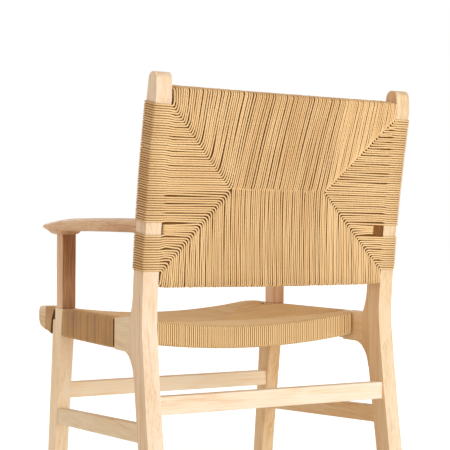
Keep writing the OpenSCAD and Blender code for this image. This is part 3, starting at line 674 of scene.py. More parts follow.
for node, z in (("back_top_rail", TOP_RAIL_Z), ("back_bottom_rail", BOTTOM_RAIL_Z)):
    bm = bmesh.new()
    lean = rear_lean(z)
    rear, front = -BACK_INSET - CLEAR, -BACK_INSET - BACK_RAIL_T + CLEAR
    low, high = CLEAR, BACK_RAIL_H - CLEAR
    outline = []
    for d, h in ((rear, low), (rear, high), (front, high), (front, low)):
        y = rear_y(z) + d * math.cos(lean) + h * math.sin(lean)
        outline.append((y, z - d * math.sin(lean) + h * math.cos(lean)))
    x_end = LEG_IN + RAIL_RUN_IN
    prism(bm, outline, -x_end, x_end)
    turned(node + "_shaped", bm, wood["rail"], RAIL_ARRIS, node)

# Arms: a loft of rounded sections from the rear leg to the nose
ARM_TOP_H, ARM_REAR_DROP, ARM_RUN_IN, ARM_OVERHANG = 33, 6, 12, 98
# Widths at the rear leg and at the post, and thickness with its swell around the post's top
ARM_W_REAR, ARM_W_POST, ARM_W_SHARE = 29, 58, 0.8
ARM_T, SWELL_T, SWELL_L, SWELL_BEHIND_POST = 26, 7, 9, 2
ARM_START = front_y(ARM_UNDER + ARM_TOP_H - ARM_REAR_DROP - ARM_T / 2) + ARM_RUN_IN
ARM_TIP = POST_Y - POST_D / 2 - ARM_OVERHANG
# How far its middle lies inside the frame's side at the rear, and how far it swings out
ARM_INSET, ARM_SWING = 15, 4
# Shares of the arm's length where its nose begins and where its top starts to ease down, and how
# far it has eased at the tip
NOSE_FROM, EASE_FROM, ARM_EASE, TIP_DROP = 0.814, 0.6, 8.3, 2.1
# The nose narrows in plan and thins out in two curves, and its very tip is rounded
NOSE_PLAN, NOSE_THIN, NOSE_THIN_BY, TIP_ROUND = 1.4, 0.8, 0.74, 12
# How square the rounded section is: 1 is an ellipse, and less is squarer
ARM_SQUARE = 0.62
ARM_RINGS, ARM_RING_SIDES = 90, 56


def arm_ring(t, side):
    """Section of the arm at a share of its length."""
    y = ARM_START + (ARM_TIP - ARM_START) * t
    nose = max(0, (t - NOSE_FROM) / (1 - NOSE_FROM))
    swell = smooth((POST_D / 2 + SWELL_BEHIND_POST + SWELL_L - (y - POST_Y)) / SWELL_L)
    width = ARM_W_REAR + (ARM_W_POST - ARM_W_REAR) * smooth(t / ARM_W_SHARE)
    width *= max(0.02, math.sqrt(max(0, 1 - nose**NOSE_PLAN)))
    ease = ARM_EASE * smooth((t - EASE_FROM) / (1 - EASE_FROM))
    full = (ARM_T + SWELL_T * swell) * (1 - NOSE_THIN_BY * nose**NOSE_THIN)
    full -= ease * (1 - nose**2)
    height = full * math.sqrt(max(0.01, 1 - nose**TIP_ROUND))
    rear_drop = ARM_REAR_DROP * (1 - min(1, t / ARM_W_SHARE)) ** 2
    top = ARM_UNDER + ARM_TOP_H - rear_drop - TIP_DROP * nose - ease - (full - height) / 2
    centre = HALF_W - ARM_INSET + ARM_SWING * smooth(t)
    ring = []
    for j in range(ARM_RING_SIDES):
        a = math.tau * j / ARM_RING_SIDES
        c, s = (math.copysign(abs(v) ** ARM_SQUARE, v) for v in (math.cos(a), math.sin(a)))
        ring.append((side * (centre + width / 2 * c), y, top - height / 2 * (1 - s)))
    return ring


for word, side in SIDES:
    bm = bmesh.new()
    # Sections lie closer towards the nose
    shares = [math.sin(math.pi / 2 * t) for t in span(0, 1, ARM_RINGS)]
    loft(bm, [arm_ring(t, side) for t in shares])
    turned("arm_" + word + "_shaped", bm, wood["arm"], 0, "arm_" + word)

# Packing boards between the two layers of cord
bm = bmesh.new()
edge = PACKING_COVER + SEAT_DIP
y0, y1 = SEAT_FRONT + RAIL_T + 8, SEAT_REAR - RAIL_T - 8
sections = []
for x in span(-LEG_IN + 1, LEG_IN - 1, 24):
    top, low = SEAT_H - edge - dish(x), SEAT_UNDER + edge - dish(x)
    sections.append([(x, y0, low), (x, y1, low), (x, y1, top), (x, y0, top)])
loft(bm, sections)
turned("seat_packing_board", bm, packing_board, 0, "seat_packing")

bm = bmesh.new()
cover = BACK_DIP + PACKING_COVER - CORD_D
x = LEG_IN - 1
sections = []
for z in span(BOTTOM_RAIL_Z + BACK_RAIL_H + 2, TOP_RAIL_Z - 2, 16):
    rear, front = on_leg(z, BACK_INSET + cover), on_leg(z, BACK_INSET + BACK_RAIL_T - cover)
    sections.append([(-x, *rear), (x, *rear), (x, *front), (-x, *front)])
loft(bm, sections)
turned("back_packing_board", bm, packing_board, 0, "back_packing")

# Paper cord, wound turn by turn. A turn is a list of corners, each (point, radius)

# Corners rounder than this many radians are drawn in steps of FILLET_STEP
STRAIGHT, FILLET_STEP = 0.05, math.radians(30)
# Share of a side that one rounding may take, and points nearer than this in mm are one
SIDE_SHARE, SAME_POINT = 0.46, 0.25


def filleted(corners):
    """A closed path through corners, with every corner rounded."""
    path, n = [], len(corners)
    for i, (point, r) in enumerate(corners):
        before, after = corners[i - 1][0], corners[(i + 1) % n][0]
        u, v = before - point, after - point
        lu, lv = np.linalg.norm(u), np.linalg.norm(v)
        u, v = u / lu, v / lv
        turn = math.pi - math.acos(within(float(u @ v), -1, 1))
        if r <= 0 or turn < STRAIGHT:
            path.append(point)
            continue
        t = min(r * math.tan(turn / 2), SIDE_SHARE * min(lu, lv))
        real_r = t / math.tan(turn / 2)
        inward = (u + v) / np.linalg.norm(u + v)
        centre = point + inward * real_r / math.cos(turn / 2)
        start = (point + u * t - centre) / real_r
        for a in span(0, turn, max(2, math.ceil(turn / FILLET_STEP))):
            path.append(centre + real_r * (start * math.cos(a) - u * math.sin(a)))
    return path


def panel_dip(dip, u, v):
    """How far a panel has sunk, at shares of its way from the middle to its edges."""
    return dip * (1 - u * u) * (1 - v * v)


def back_shares(x, z):
    return min(1, abs(x) / LEG_IN), within((z - BACK_MID) / (BACK_TOP - BACK_MID), -1, 1)


def back_rear(x, z):
    """Depth of a cord's middle on the back's rear face, ahead of the leg's back edge."""
    u, v = back_shares(x, z)
    return -CORD_D + BACK_INSET * (1 - u**4) + panel_dip(BACK_DIP, u, v) + CORD_R


def back_front(x, z):
    u, v = back_shares(x, z)
    d = rear_d(z)
    inset = (d - BACK_INSET - BACK_RAIL_T) * (1 - u**4)
    return d + CORD_D - inset - panel_dip(BACK_DIP, u, v) - CORD_R


def on_back(point):
    """The place of a point that is given by X, height and depth in the back."""
    x, z, b = point
    y, height = on_leg(z, b)
    return (x, y, height)


def seat_share(y):
    return within((y - SEAT_MID) / SEAT_HALF, -1, 1)


def seat_top(x, y):
    """Height of a cord's middle on the seat's top."""
    x = min(abs(x), LEG_IN)
    return SEAT_H - dish(x) - panel_dip(SEAT_DIP, x / HALF_W, seat_share(y)) - CORD_R


def seat_low(x, y):
    x, v = min(abs(x), LEG_IN), seat_share(y)
    rise = panel_dip(SEAT_DIP, x / HALF_W, v)
    to_rail = (SEAT_UNDER - SIDE_LOW) * (x / LEG_IN) ** 4 * (1 - v**4)
    return SEAT_UNDER - dish(x) + rise - to_rail + CORD_R


def side_under(y):
    """Underside of the side rail, which rises ahead of the front leg."""
    y0, y1 = leg_front(SIDE_LOW) - CHIN_GAP, NOSE_TIP + NOSE_LOW_R
    return SIDE_LOW + (SEAT_H - NOSE_H - SIDE_LOW) * within((y0 - y) / (y0 - y1), 0, 1)


# The two faces of each panel, and the side of its middle to which each of them faces
BACK_FACES = ((back_rear, 1), (back_front, -1))
SEAT_FACES = ((seat_top, 1), (seat_low, -1))


def both_ways(half, faces):
    """A closed turn: the way out on the first face, and the same way home on the other."""
    return half(*faces[0]) + half(*faces[1])[::-1]


# How close cords lie when they are pulled tight against each other
TIGHT = 3.72


def grouped(first, last, count, most=3):
    """Places of count cords between two lines, in tight groups with the spare room between them."""
    length = abs(last - first)
    tight = min(TIGHT, length / count)
    room = [tight + chance.uniform(0, 0.25) * (length / count - tight) for _ in range(count)]
    openings, i = {}, 0
    while i < count:
        openings[i] = chance.uniform(0.3, 1)
        i += chance.randint(1, most)
    spare = length - sum(room)
    for i, share in openings.items():
        room[i] += spare * share / sum(openings.values())
    at, places = 0, []
    for r in room:
        at += r
        places.append(first + math.copysign(at - tight / 2, last - first))
    return places


def even(first, last, count, jitter):
    """Places of count cords at nearly the same pitch."""
    pitch = (last - first) / count
    return [first + pitch * (i + 0.5 + chance.uniform(-jitter, jitter)) for i in range(count)]


def fans(count, spread, smallest, largest):
    """Sideways shifts of cords that draw together in fans, with a wedge open between two fans."""
    shifts = []
    while len(shifts) < count:
        size, open_by = chance.randint(smallest, largest), spread * chance.uniform(0.4, 1)
        shifts += [open_by * (0.5 - i / (size - 1)) for i in range(size)]
    return shifts[:count]


def tones(count, middle, swing=0.03, own=0.024):
    """A tone for each cord: slow waves from batch to batch, and a little of its own."""
    phase, wave = chance.uniform(0, math.tau), chance.uniform(9, 15)
    waves = [swing * math.sin(phase + math.tau * i / wave) for i in range(count)]
    return [middle + w + chance.gauss(0, own) for w in waves]


# Distances in mm from a cord's inner end at which its curve is drawn, closer near the end, and the
# stretch before the rail that is kept straight
CURVE_STOPS, LAST_STRAIGHT = (4, 9, 16, 26, 40, 60, 85, 115, 150), 7


def curve_shares(rise):
    return [h / rise for h in CURVE_STOPS if h < rise - LAST_STRAIGHT]


# Core of the back and of the seat, which the turns face away from: its deepest place under a face,
# and where it ends to the sides, and below and above or at the front and rear
CORE_DEEP = 12
BACK_CORE_X, BACK_CORE_Z = HALF_W - 14, (BOTTOM_RAIL_Z + 11, TOP_RAIL_Z + 14)
SEAT_CORE_X, SEAT_CORE_Y = HALF_W - 16, (SEAT_FRONT + 13, SEAT_REAR - 13)


def core_depth(value, one, other):
    """A place between two faces, kept clear of both."""
    deep = min(CORE_DEEP, (other - one) / 2 - 1)
    return within(value, one + deep, other - deep)


def back_core(point):
    x, z, b = point
    depth = core_depth(b, back_rear(x, z), back_front(x, z))
    return within(x, -BACK_CORE_X, BACK_CORE_X), within(z, *BACK_CORE_Z), depth


def seat_core(point):
    x, y, z = point
    height = core_depth(z, seat_low(x, y), seat_top(x, y))
    return within(x, -SEAT_CORE_X, SEAT_CORE_X), within(y, *SEAT_CORE_Y), height


windings = {}


def wind(piece, corners, tone, core, place=tuple):
    """Keeps one closed turn: its points, the way that each point faces, and its tone there."""
    path = filleted([(np.array(p, float), r) for p, r in corners])
    kept = [path[0]]
    for p in path[1:]:
        if np.linalg.norm(p - kept[-1]) > SAME_POINT:
            kept.append(p)
    if np.linalg.norm(kept[0] - kept[-1]) < SAME_POINT:
        kept.pop()
    facing = [np.subtract(place(p), place(core(p))) for p in kept]
    facing = [v / max(0.001, np.linalg.norm(v)) for v in facing]
    turn = ([place(p) for p in kept], facing, [tone(p) for p in kept])
    windings.setdefault(piece, []).append(turn)


# Back. The pair of values in a bracket is for the sitter's left and right. The diagonals meet the
# spine at SPINE_X, and the turns between them cross the rail at rail_x
SPINE_X, SPINE_Z = (103, -98), (TOP_RAIL_Z + BOTTOM_RAIL_Z + BACK_RAIL_H) / 2
POST_OUT = HALF_W + CORD_D - CORD_R
# Bare band of the leg at the arm, from one height to the other. The cord turns back before the
# leg there, further off on the right, and its ends draw together and lie higher on the right
BAND = (591.4, 615.4)
BAND_OFF, BAND_DRAW, BAND_RISE = (1, 22), 0.25, (0, 2)
# Jitter of the rows on the legs and of the columns on the rails, and most rows in one group
ROW_JITTER, COLUMN_JITTER, ROW_GROUP = 0.07, 0.2, 5
# Rounding of the cord over a rail and over a leg, and where it dives through the back
OVER_RAIL_R, OVER_LEG_R, DIVE_R = 5.2, 3.9, 2.1
UPPER = SimpleNamespace(
    middle="back_cord_upper",
    corners="back_cord_upper_corners",
    cords=45,
    corner_cords=(35, 33),
    rail_x=(79, -121),
    # Height of the first row, a little below the rail's underside, and place of the first column
    first_z=TOP_RAIL_Z - 2,
    first_x=LEG_IN - 1,
    # Height of the cord over the rail, its sag in the middle, its drop at the legs and its jitter
    crest=BACK_TOP - CORD_R,
    sag=0,
    drop=2.5,
    jitter=(-0.4, 0.1),
    # Where the middle turns end at the spine, and how far they stand proud there
    end_z=(-1.2, -0.4),
    proud=-0.8,
    # How far the middle and corner turns bend sideways, and how the corner turns fan
    bend=(1.5, 4.0),
    fans=((5.0, 5, 9), (3.0, 5, 9)),
    elbow=((2.6, 3.8), (2.2, 3)),
    tone=(0.49, 0.56),
)
LOWER = SimpleNamespace(
    middle="back_cord_middle",
    corners="back_cord_lower_corners",
    cords=47,
    corner_cords=(34, 34),
    rail_x=(95, -107),
    first_z=BOTTOM_RAIL_Z + BACK_RAIL_H,
    first_x=LEG_IN - 3,
    crest=BACK_LOW + CORD_R,
    sag=-2.2,
    drop=-3,
    jitter=(-0.6, 0.4),
    end_z=(2.4, 3.2),
    proud=1.1,
    bend=(0.0, 0.0),
    fans=((4.2, 3, 6), (3.2, 4, 7)),
    elbow=((6.5, 9), (4.5, 6.5)),
    tone=(0.52, 0.57),
)
# Length over which the cord rounds off at a rail's end
RAIL_END = 9


def rail_end_share(x):
    return max(0, abs(x) - (LEG_IN - RAIL_END)) / RAIL_END


def crest(half, x):
    """Height of the cord over a back rail: it sags in the middle and rounds off at the legs."""
    z = half.crest + half.sag * (1 - (x / LEG_IN) ** 2) - half.drop * rail_end_share(x) ** 2
    return z + chance.uniform(*half.jitter)


# Cords shorter than these bend less and sway less, and over how far a bend builds up
BEND_RISE, SWAY_RISE, BEND_START = 40, 60, 8
SWAY, SWAY_WAVES = (0.1, 0.6), (0.6, 1.6)
# How proud of the others a cord stands, from and to, in the panel's middle and in its corners
WOBBLE, CORNER_WOBBLE = (-0.15, 0.25), (-0.1, 0.3)
# Stretch by the spine where the middle turns stand proud
PROUD_L = 9
# A corner's row ends a little way onto the leg and moves to its place there in its last stretch,
# unless the row is hardly longer than that. It has a point about every ROW_STRETCH
ON_LEG, ROW_EASE, SHORT_ROW, ROW_STRETCH = 4, 13, 8, 40


def column(x_end, z_end, x_rail, z_rail, bend, shift=0.0):
    """Way of a cord from its turn in the panel to its rail, as (x, z) at a share.

    It bends, shifts near the turn and sways a little, so that the gaps beside it open and close."""
    rise = abs(z_rail - z_end)
    sway, waves = chance.uniform(*SWAY), chance.uniform(*SWAY_WAVES)
    phase = chance.uniform(0, math.tau)

    def at(t):
        swing = (bend + shift * (1 - t) ** 2) * min(1, rise / BEND_RISE)
        swing *= (1 - math.exp(-rise * t / BEND_START)) * (1 - t)
        wave = math.sin(math.pi * t) * math.sin(phase + math.tau * waves * t)
        swing += sway * min(1, rise / SWAY_RISE) * wave
        return x_end + (x_rail - x_end) * t - swing, z_end + (z_rail - z_end) * t

    return at


def upright_turn(half, x_end, z_end, x_rail, z_rail, tone):
    """One turn over the top or bottom rail, which dives through the panel at its inner end."""
    way = column(x_end, z_end, x_rail, z_rail, half.bend[0])
    wobble = chance.uniform(*WOBBLE)
    rise = abs(z_rail - z_end)

    def half_turn(depth, sign):
        corners = []
        shares = curve_shares(rise)
        radii = [DIVE_R] + [0] * len(shares) + [OVER_RAIL_R]
        for t, r in zip([0, *shares, 1], radii):
            x, z = way(t)
            lift = wobble + half.proud * math.exp(-rise * t / PROUD_L)
            corners.append(((x, z, depth(x, z) - sign * lift), r))
        return corners

    wind(half.middle, both_ways(half_turn, BACK_FACES), lambda p: tone, back_core, on_back)


def corner_turn(
    half, side, x_end, z_end, z_near, z_post, x_rail, z_rail, outer, elbow, shift, tone
):
    """One turn round a rear leg and a back rail, with an elbow on the diagonal of both faces.

    Its row lies at z_end on the diagonal, at z_near beside the leg and at z_post on the leg."""
    bend = half.bend[1]
    way = column(side * x_end, z_end, side * x_rail, z_rail, bend, side * shift)
    wobble = chance.uniform(*CORNER_WOBBLE)
    last = min(outer, LEG_IN + ON_LEG)
    near = last - ROW_EASE
    rise = abs(z_rail - z_end)
    short = x_end > near - SHORT_ROW

    def row_z(x):
        if short:
            return z_end + (z_post - z_end) * within((x - x_end) / (last - x_end), 0, 1)
        if x < near:
            return z_end + (z_near - z_end) * (x - x_end) / (near - x_end)
        return z_near + (z_post - z_near) * within((x - near) / (last - near), 0, 1)

    stations = [] if outer == last else [last]
    if not short:
        steps = max(2, round((near - x_end) / ROW_STRETCH))
        stations += [near] + span(near, x_end, steps)[1:-1]
    shares = [t for t in curve_shares(rise) if rise * t > 1.5 * elbow]

    def half_turn(depth, sign):
        corners = []
        for x, r in zip([outer, *stations], [OVER_LEG_R] + [0] * len(stations)):
            z = row_z(x)
            lift = wobble if x < LEG_IN else 0
            corners.append(((side * x, z, depth(x, z) - sign * lift), r))
        for t, r in zip([0, *shares, 1], [elbow] + [0] * len(shares) + [OVER_RAIL_R]):
            x, z = way(t)
            corners.append(((x, z, depth(x, z) - sign * wobble), r))
        return corners

    def leg_tone(p):
        # On the leg the cord is a little paler, and on the leg's outer side greyer as painted shade
        paler, greyer = smooth((abs(p[0]) - LEG_IN) / 8), smooth((abs(p[0]) - HALF_W + 4) / 5)
        return tone + 0.1 * paler - 0.22 * greyer

    wind(half.corners, both_ways(half_turn, BACK_FACES), leg_tone, back_core, on_back)


for half in (UPPER, LOWER):
    count = half.cords
    places = zip(grouped(*SPINE_X, count), grouped(*half.rail_x, count), tones(count, half.tone[0]))
    for x, x_rail, tone in places:
        z_end = SPINE_Z + chance.uniform(*half.end_z)
        upright_turn(half, x, z_end, x_rail, crest(half, x_rail), tone)

for hand, side in ((0, 1), (1, -1)):
    for half in (UPPER, LOWER):
        count = half.corner_cords[hand]
        places = zip(
            grouped(half.first_x, side * SPINE_X[hand], count),
            grouped(half.first_z, SPINE_Z, count),
            grouped(half.first_z, SPINE_Z, count, ROW_GROUP),
            even(half.first_z, SPINE_Z, count, ROW_JITTER),
            even(LEG_IN, side * half.rail_x[hand], count, COLUMN_JITTER),
            fans(count, *half.fans[hand]),
            tones(count, half.tone[1]),
        )
        for x, z, z_near, z_post, x_rail, shift, tone in places:
            outer = POST_OUT
            if BAND[0] < z_post < BAND[1]:
                outer = LEG_IN - BAND_OFF[hand] - CORD_R
                z_post += BAND_DRAW * (sum(BAND) / 2 - z_post) + BAND_RISE[hand]
                z_near = z_post
            elbow = chance.uniform(*half.elbow[hand])
            z_rail = crest(half, x_rail)
            corner_turn(
                half, side, x, z, z_near, z_post, x_rail, z_rail, outer, elbow, shift, tone
            )

# Seat: the same pattern lying down. Counts of the turns over the side rails, over the middle of a
# seat rail and over each of its ends
SEAT_ROWS, SEAT_MIDDLE, SEAT_CORNER = 48, 20, 44
SEAT_SPINE_X = 44.8
WRAP_OUT = HALF_W - CORD_R
SEAT_DIVE_R, OVER_SEAT_RAIL_R, OVER_SIDE_RAIL_R = 2.3, 4.9, 4.2
# How much the nose's wraps draw together under the rail, and shares of that at two heights on the
# way down
NOSE_SQUEEZE, NOSE_SLANT = 0.45, ((0.62, 421), (0.88, 404))
# Groove behind the last wrap
GROOVE = 7
# Places of the first turn over a seat rail, on the diagonal and on the rail. Turns keep a little
# way off the line where they dive: the spine, and the diagonals
SEAT_FIRST_X, SEAT_FIRST_RAIL_X = LEG_IN - 1, LEG_IN - 2.5
SPINE_OFF, DEEP_OFF, WIDE_OFF_X, WIDE_OFF_Y = 2.2, 0.3, 0.6, 0.4
# Jitter over the rails, most wraps in one group over a side rail, and the tones there
SEAT_JITTER, WRAP_GROUP, SIDE_TONES = 0.06, 12, (0.44, 0.015, 0.05)
# Longest stretch of a seat cord without a point in it
SEAT_STRETCH = 50


def deep_turn(piece, x, y_end, y_rail, tone, x_rail):
    """One turn over the front or rear seat rail."""
    wobble = chance.uniform(-0.15, 0.3)
    # Near the side rails the wraps round off over the rail's ends
    near = rail_end_share(x_rail)
    turn_in, sink = math.copysign(2.2 * near, y_rail - y_end), 3 * near * near
    steps = max(1, round(abs(y_rail - y_end) / SEAT_STRETCH)) + 1

    def half_turn(height, sign):
        corners = []
        for i, t in enumerate(span(0, 1, steps)):
            x_at, y = x + (x_rail - x) * t, y_end + (y_rail - y_end) * t
            z = height(x_at, y) - sign * wobble
            r = SEAT_DIVE_R if i == 0 else 0
            if i == steps:
                y, z, r = y - turn_in, z - sign * sink, OVER_SEAT_RAIL_R
            corners.append(((x_at, y, z), r))
        return corners

    def rear_painted_light_tone(p):
        # Painted light: behind the rear rail the cord is palest
        return tone + 0.3 * smooth((p[1] - SEAT_REAR + 6) / 6)

    wind(piece, both_ways(half_turn, SEAT_FACES), rear_painted_light_tone, seat_core)


def wide_turn(piece, side, x_end, y_end, y, tone):
    """One turn over a side rail. Beside the front leg it turns down inside the rail."""
    wobble = chance.uniform(-0.1, 0.3)
    steps = max(1, round((LEG_IN - x_end) / SEAT_STRETCH)) + 1
    inside = SHOULDER_Y - 5 < y < LEG_BACK_TOP + CORD_R
    last_x = LEG_IN - CORD_R - CLEAR if inside else LEG_IN

    def half_turn(height, sign):
        corners = []
        for i, x in enumerate(span(x_end, last_x, steps)):
            y_at = y_end + (y - y_end) * (x - x_end) / (LEG_IN - x_end)
            r = SEAT_DIVE_R if i == 0 else 0
            corners.append(((side * x, y_at, height(x, y_at) - sign * wobble), r))
        if inside:
            corners[-1] = (corners[-1][0], OVER_SIDE_RAIL_R)
            return corners
        return corners[:-1]

    top, low = half_turn(*SEAT_FACES[0]), half_turn(*SEAT_FACES[1])
    over = []
    if not inside:
        squeeze = (y - NOSE_END) * NOSE_SQUEEZE if y < SHOULDER_Y else 0
        out, crown, under = side * WRAP_OUT, SEAT_H - CORD_R, y - squeeze
        over = [((side * LEG_IN, y, crown - 1), 0), ((out, y, crown), OVER_SIDE_RAIL_R)]
        if squeeze:
            over += [((out, y - share * squeeze, z), 0) for share, z in NOSE_SLANT]
        over.append(((out, under, side_under(under) + CORD_R), OVER_SIDE_RAIL_R))

    def painted_side_tone(p):
        # Painted shade: outside the rail the cord is greyer
        return tone - 0.18 * smooth((abs(p[0]) - LEG_IN - 12) / 12)

    wind(piece, top + over + low[::-1], painted_side_tone, seat_core)


# lit is the middle tone of a seat rail's cord, higher at the rear as painted light
for end, word, side_y, wrap_y, lit in (
    (1, "rear", BARE_END, BARE_END - GROOVE, 0.64),
    (-1, "front", NOSE_END, NOSE_END, 0.5),
):
    piece = "seat_cord_" + word
    y_rail = SEAT_MID + end * (SEAT_HALF - CORD_R)
    places = zip(
        grouped(SEAT_SPINE_X, -SEAT_SPINE_X, SEAT_MIDDLE),
        even(SEAT_SPINE_X, -SEAT_SPINE_X, SEAT_MIDDLE, SEAT_JITTER),
        tones(SEAT_MIDDLE, lit),
    )
    for x, x_rail, tone in places:
        deep_turn(piece, x, SEAT_MID + end * SPINE_OFF, y_rail, tone, x_rail)
    for side in (1, -1):
        places = zip(
            grouped(SEAT_FIRST_X, SEAT_SPINE_X, SEAT_CORNER),
            even(SEAT_FIRST_RAIL_X, SEAT_SPINE_X, SEAT_CORNER, SEAT_JITTER),
            tones(SEAT_CORNER, lit),
        )
        for x, x_rail, tone in places:
            y = side_y + (SEAT_MID - side_y) * (LEG_IN - x) / (LEG_IN - SEAT_SPINE_X)
            deep_turn(piece, side * x, y + end * DEEP_OFF, y_rail, tone, side * x_rail)
        rows = zip(
            grouped(side_y, SEAT_MID, SEAT_ROWS),
            grouped(wrap_y, SEAT_MID, SEAT_ROWS, WRAP_GROUP),
            tones(SEAT_ROWS, *SIDE_TONES),
        )
        for y_end, y, tone in rows:
            x = LEG_IN - (LEG_IN - SEAT_SPINE_X) * (y_end - side_y) / (SEAT_MID - side_y)
            y_end -= end * WIDE_OFF_Y
            wide_turn("seat_cord_sides", side, x - WIDE_OFF_X, y_end, y, tone)

# Sheets right under the wound turns, coloured as painted shade where the gaps show: the hidden cord
# in the panels between the rails, and sleeves on the rails and legs. How far a sheet lies under the
# turns' middles, how thick it is, and how far the sleeves reach out
UNDER_GAP, UNDER_T, UNDER_SLEEVE = 2.1, 2.0, 0.25


def under_layer(name, us, vs, place):
    """A closed sheet of painted shade over a grid. place gives a point on the sheet at a depth
    under the turns.
    """
    bm = bmesh.new()
    rims = []
    for depth in (UNDER_GAP, UNDER_GAP + UNDER_T):
        grid = [[bm.verts.new(row(*place(u, v, depth))) for v in vs] for u in us]
        for a, b in zip(grid, grid[1:]):
            for j in range(len(vs) - 1):
                bm.faces.new((a[j], b[j], b[j + 1], a[j + 1]))
        ends = [r[-1] for r in grid[1:-1]], [r[0] for r in grid[-2:0:-1]]
        rims.append(grid[0] + ends[0] + grid[-1][::-1] + ends[1])
    skin(bm, rims)
    turned(name, bm, under_cord_painted_shade, 0, name.split("_under")[0])


panel_x = span(-LEG_IN + 0.6, LEG_IN - 0.6, 30)
panel_z = span(BOTTOM_RAIL_Z + BACK_RAIL_H + 1, TOP_RAIL_Z - 1, 20)
panel_y = span(SEAT_FRONT + RAIL_T + 1, SEAT_REAR - RAIL_T - 1, 20)
for word, (depth_at, sign) in zip(("rear", "front"), BACK_FACES):
    under_layer(
        "back_cord_under_" + word,
        panel_x,
        panel_z,
        lambda x, z, depth: on_back((x, z, depth_at(x, z) + sign * depth)),
    )
for word, (height_at, sign) in zip(("top", "low"), SEAT_FACES):
    under_layer(
        "seat_cord_under_" + word,
        panel_x,
        panel_y,
        lambda x, y, depth: (x, y, height_at(x, y) - sign * depth),
    )
# Sleeves of painted shade under the turns on the rear legs and under the wraps on the side rails
for word, side in SIDES:
    bm = bmesh.new()
    # Below and above the arm's bare band
    below = (LOWER.first_z + 2, BAND[0] - 5)
    above = (BAND[1] + 4, UPPER.first_z - 3)
    for low, high in (below, above):
        heights = span(low, high, 12)
        sleeve = [(rear_y(z) + UNDER_SLEEVE, z) for z in heights]
        sleeve += [(front_y(z) - UNDER_SLEEVE, z) for z in heights[::-1]]
        prism(bm, sleeve, LEG_IN - UNDER_SLEEVE, HALF_W + UNDER_SLEEVE, side)
    turned("back_cord_under_leg_" + word, bm, leg_sleeve_shade, 0, "back_cord")
    bm = bmesh.new()
    sleeve = side_rail_outline(CORD_D - UNDER_SLEEVE, NOSE_END + 0.3, BARE_END - 0.3)
    prism(bm, sleeve, LEG_IN + 0.3, HALF_W - CORD_D + UNDER_SLEEVE, side)
    turned("seat_cord_under_rail_" + word, bm, rail_sleeve_shade, 0, "seat_cord")


CORD_SIDES = 8


def winding_tree():
    """Geometry Nodes: a round cord along each closed line.

    The place round and along the cord is kept for the twist, and how far its surface faces the way
    that the line's point faces is kept for the shade."""
    tree = bpy.data.node_groups.new("cord_winding", "GeometryNodeTree")
    for name, way, kind in (
        ("Lines", "INPUT", "Geometry"),
        ("Cord radius", "INPUT", "Float"),
        ("Sides", "INPUT", "Int"),
        ("Cord finish", "INPUT", "Material"),
        ("Cord", "OUTPUT", "Geometry"),
    ):
        tree.interface.new_socket(name, in_out=way, socket_type="NodeSocket" + kind)
    given = add(tree, "NodeGroupInput").outputs
    place = add(tree, "GeometryNodeSplineParameter").outputs
    keep = {"kind": "GeometryNodeStoreNamedAttribute", "data_type": "FLOAT", "domain": "POINT"}

    line = add(tree, "GeometryNodeMeshToCurve", {"Mesh": given["Lines"]})
    wires = {"Geometry": line, "Value": place["Length"]}
    line = add(tree, wires=wires, values={"Name": "run"}, **keep)

    size = {"Resolution": given["Sides"], "Radius": given["Cord radius"]}
    ring = add(tree, "GeometryNodeCurvePrimitiveCircle", size, mode="RADIUS")
    turn = {0: place["Factor"]}
    turn = add(tree, "ShaderNodeMath", turn, {1: math.tau}, operation="MULTIPLY")
    for name, operation in (("turn_cos", "COSINE"), ("turn_sin", "SINE")):
        value = add(tree, "ShaderNodeMath", {0: turn}, operation=operation)
        wires = {"Geometry": ring, "Value": value}
        ring = add(tree, wires=wires, values={"Name": name}, **keep)

    tube = add(tree, "GeometryNodeCurveToMesh", {"Curve": line, "Profile Curve": ring})
    normal = add(tree, "GeometryNodeInputNormal")
    read = {"kind": "GeometryNodeInputNamedAttribute", "data_type": "FLOAT_VECTOR"}
    facing = add(tree, values={"Name": "facing"}, **read)
    wires = {0: normal, 1: facing}
    outward = add(tree, "ShaderNodeVectorMath", wires, operation="DOT_PRODUCT").outputs["Value"]
    wires = {"Geometry": tube, "Value": outward}
    tube = add(tree, wires=wires, values={"Name": "outward"}, **keep)

    soft = add(tree, "GeometryNodeSetShadeSmooth", {0: tube})
    real = add(tree, "GeometryNodeRealizeInstances", {0: soft})
    wires = {"Geometry": real, "Material": given["Cord finish"]}
    done = add(tree, "GeometryNodeSetMaterial", wires)
    add(tree, "NodeGroupOutput", {"Cord": done})
    return tree


tree = winding_tree()
sockets = {s.name: s.identifier for s in tree.interface.items_tree if s.in_out == "INPUT"}
for name, turns in windings.items():
    points, edges, directions, shades = [], [], [], []
    for path, facing, tones_along in turns:
        first, n = len(points), len(path)
        points += [row(*p) for p in path]
        edges += [(first + i, first + (i + 1) % n) for i in range(n)]
        directions += [part for v in facing for part in v]
        shades += tones_along
    mesh = bpy.data.meshes.new(name)
    mesh.from_pydata(points, edges, [])
    mesh.attributes.new("tone", "FLOAT", "POINT").data.foreach_set("value", shades)
    mesh.attributes.new("facing", "FLOAT_VECTOR", "POINT").data.foreach_set("vector", directions)
    piece = object_of(name, mesh, cord_finish)
    maker = piece.modifiers.new("winding", "NODES")
    maker.node_group = tree
    maker[sockets["Cord radius"]] = (FULL_CORD_R if name in FULL_CORD else CORD_DRAWN_R) * MM
    maker[sockets["Sides"]] = CORD_SIDES
    maker[sockets["Cord finish"]] = cord_finish
    bake(piece)
    stand_for(piece, "back_cord" if name.startswith("back") else "seat_cord")

# Floor, background and light. Places and sizes from here on are in metres

FLOOR_HALF = 20
FLOOR_WHITE, FILL_COLOUR, FILL_STRENGTH = "#F4F3F0", "#FFEDDA", 0.54
# The floor's glow rises with the way from the object, so that its shadow shows only near it
GLOW_WAY = limits(0.4, 1.3, 0.52, 0.95)


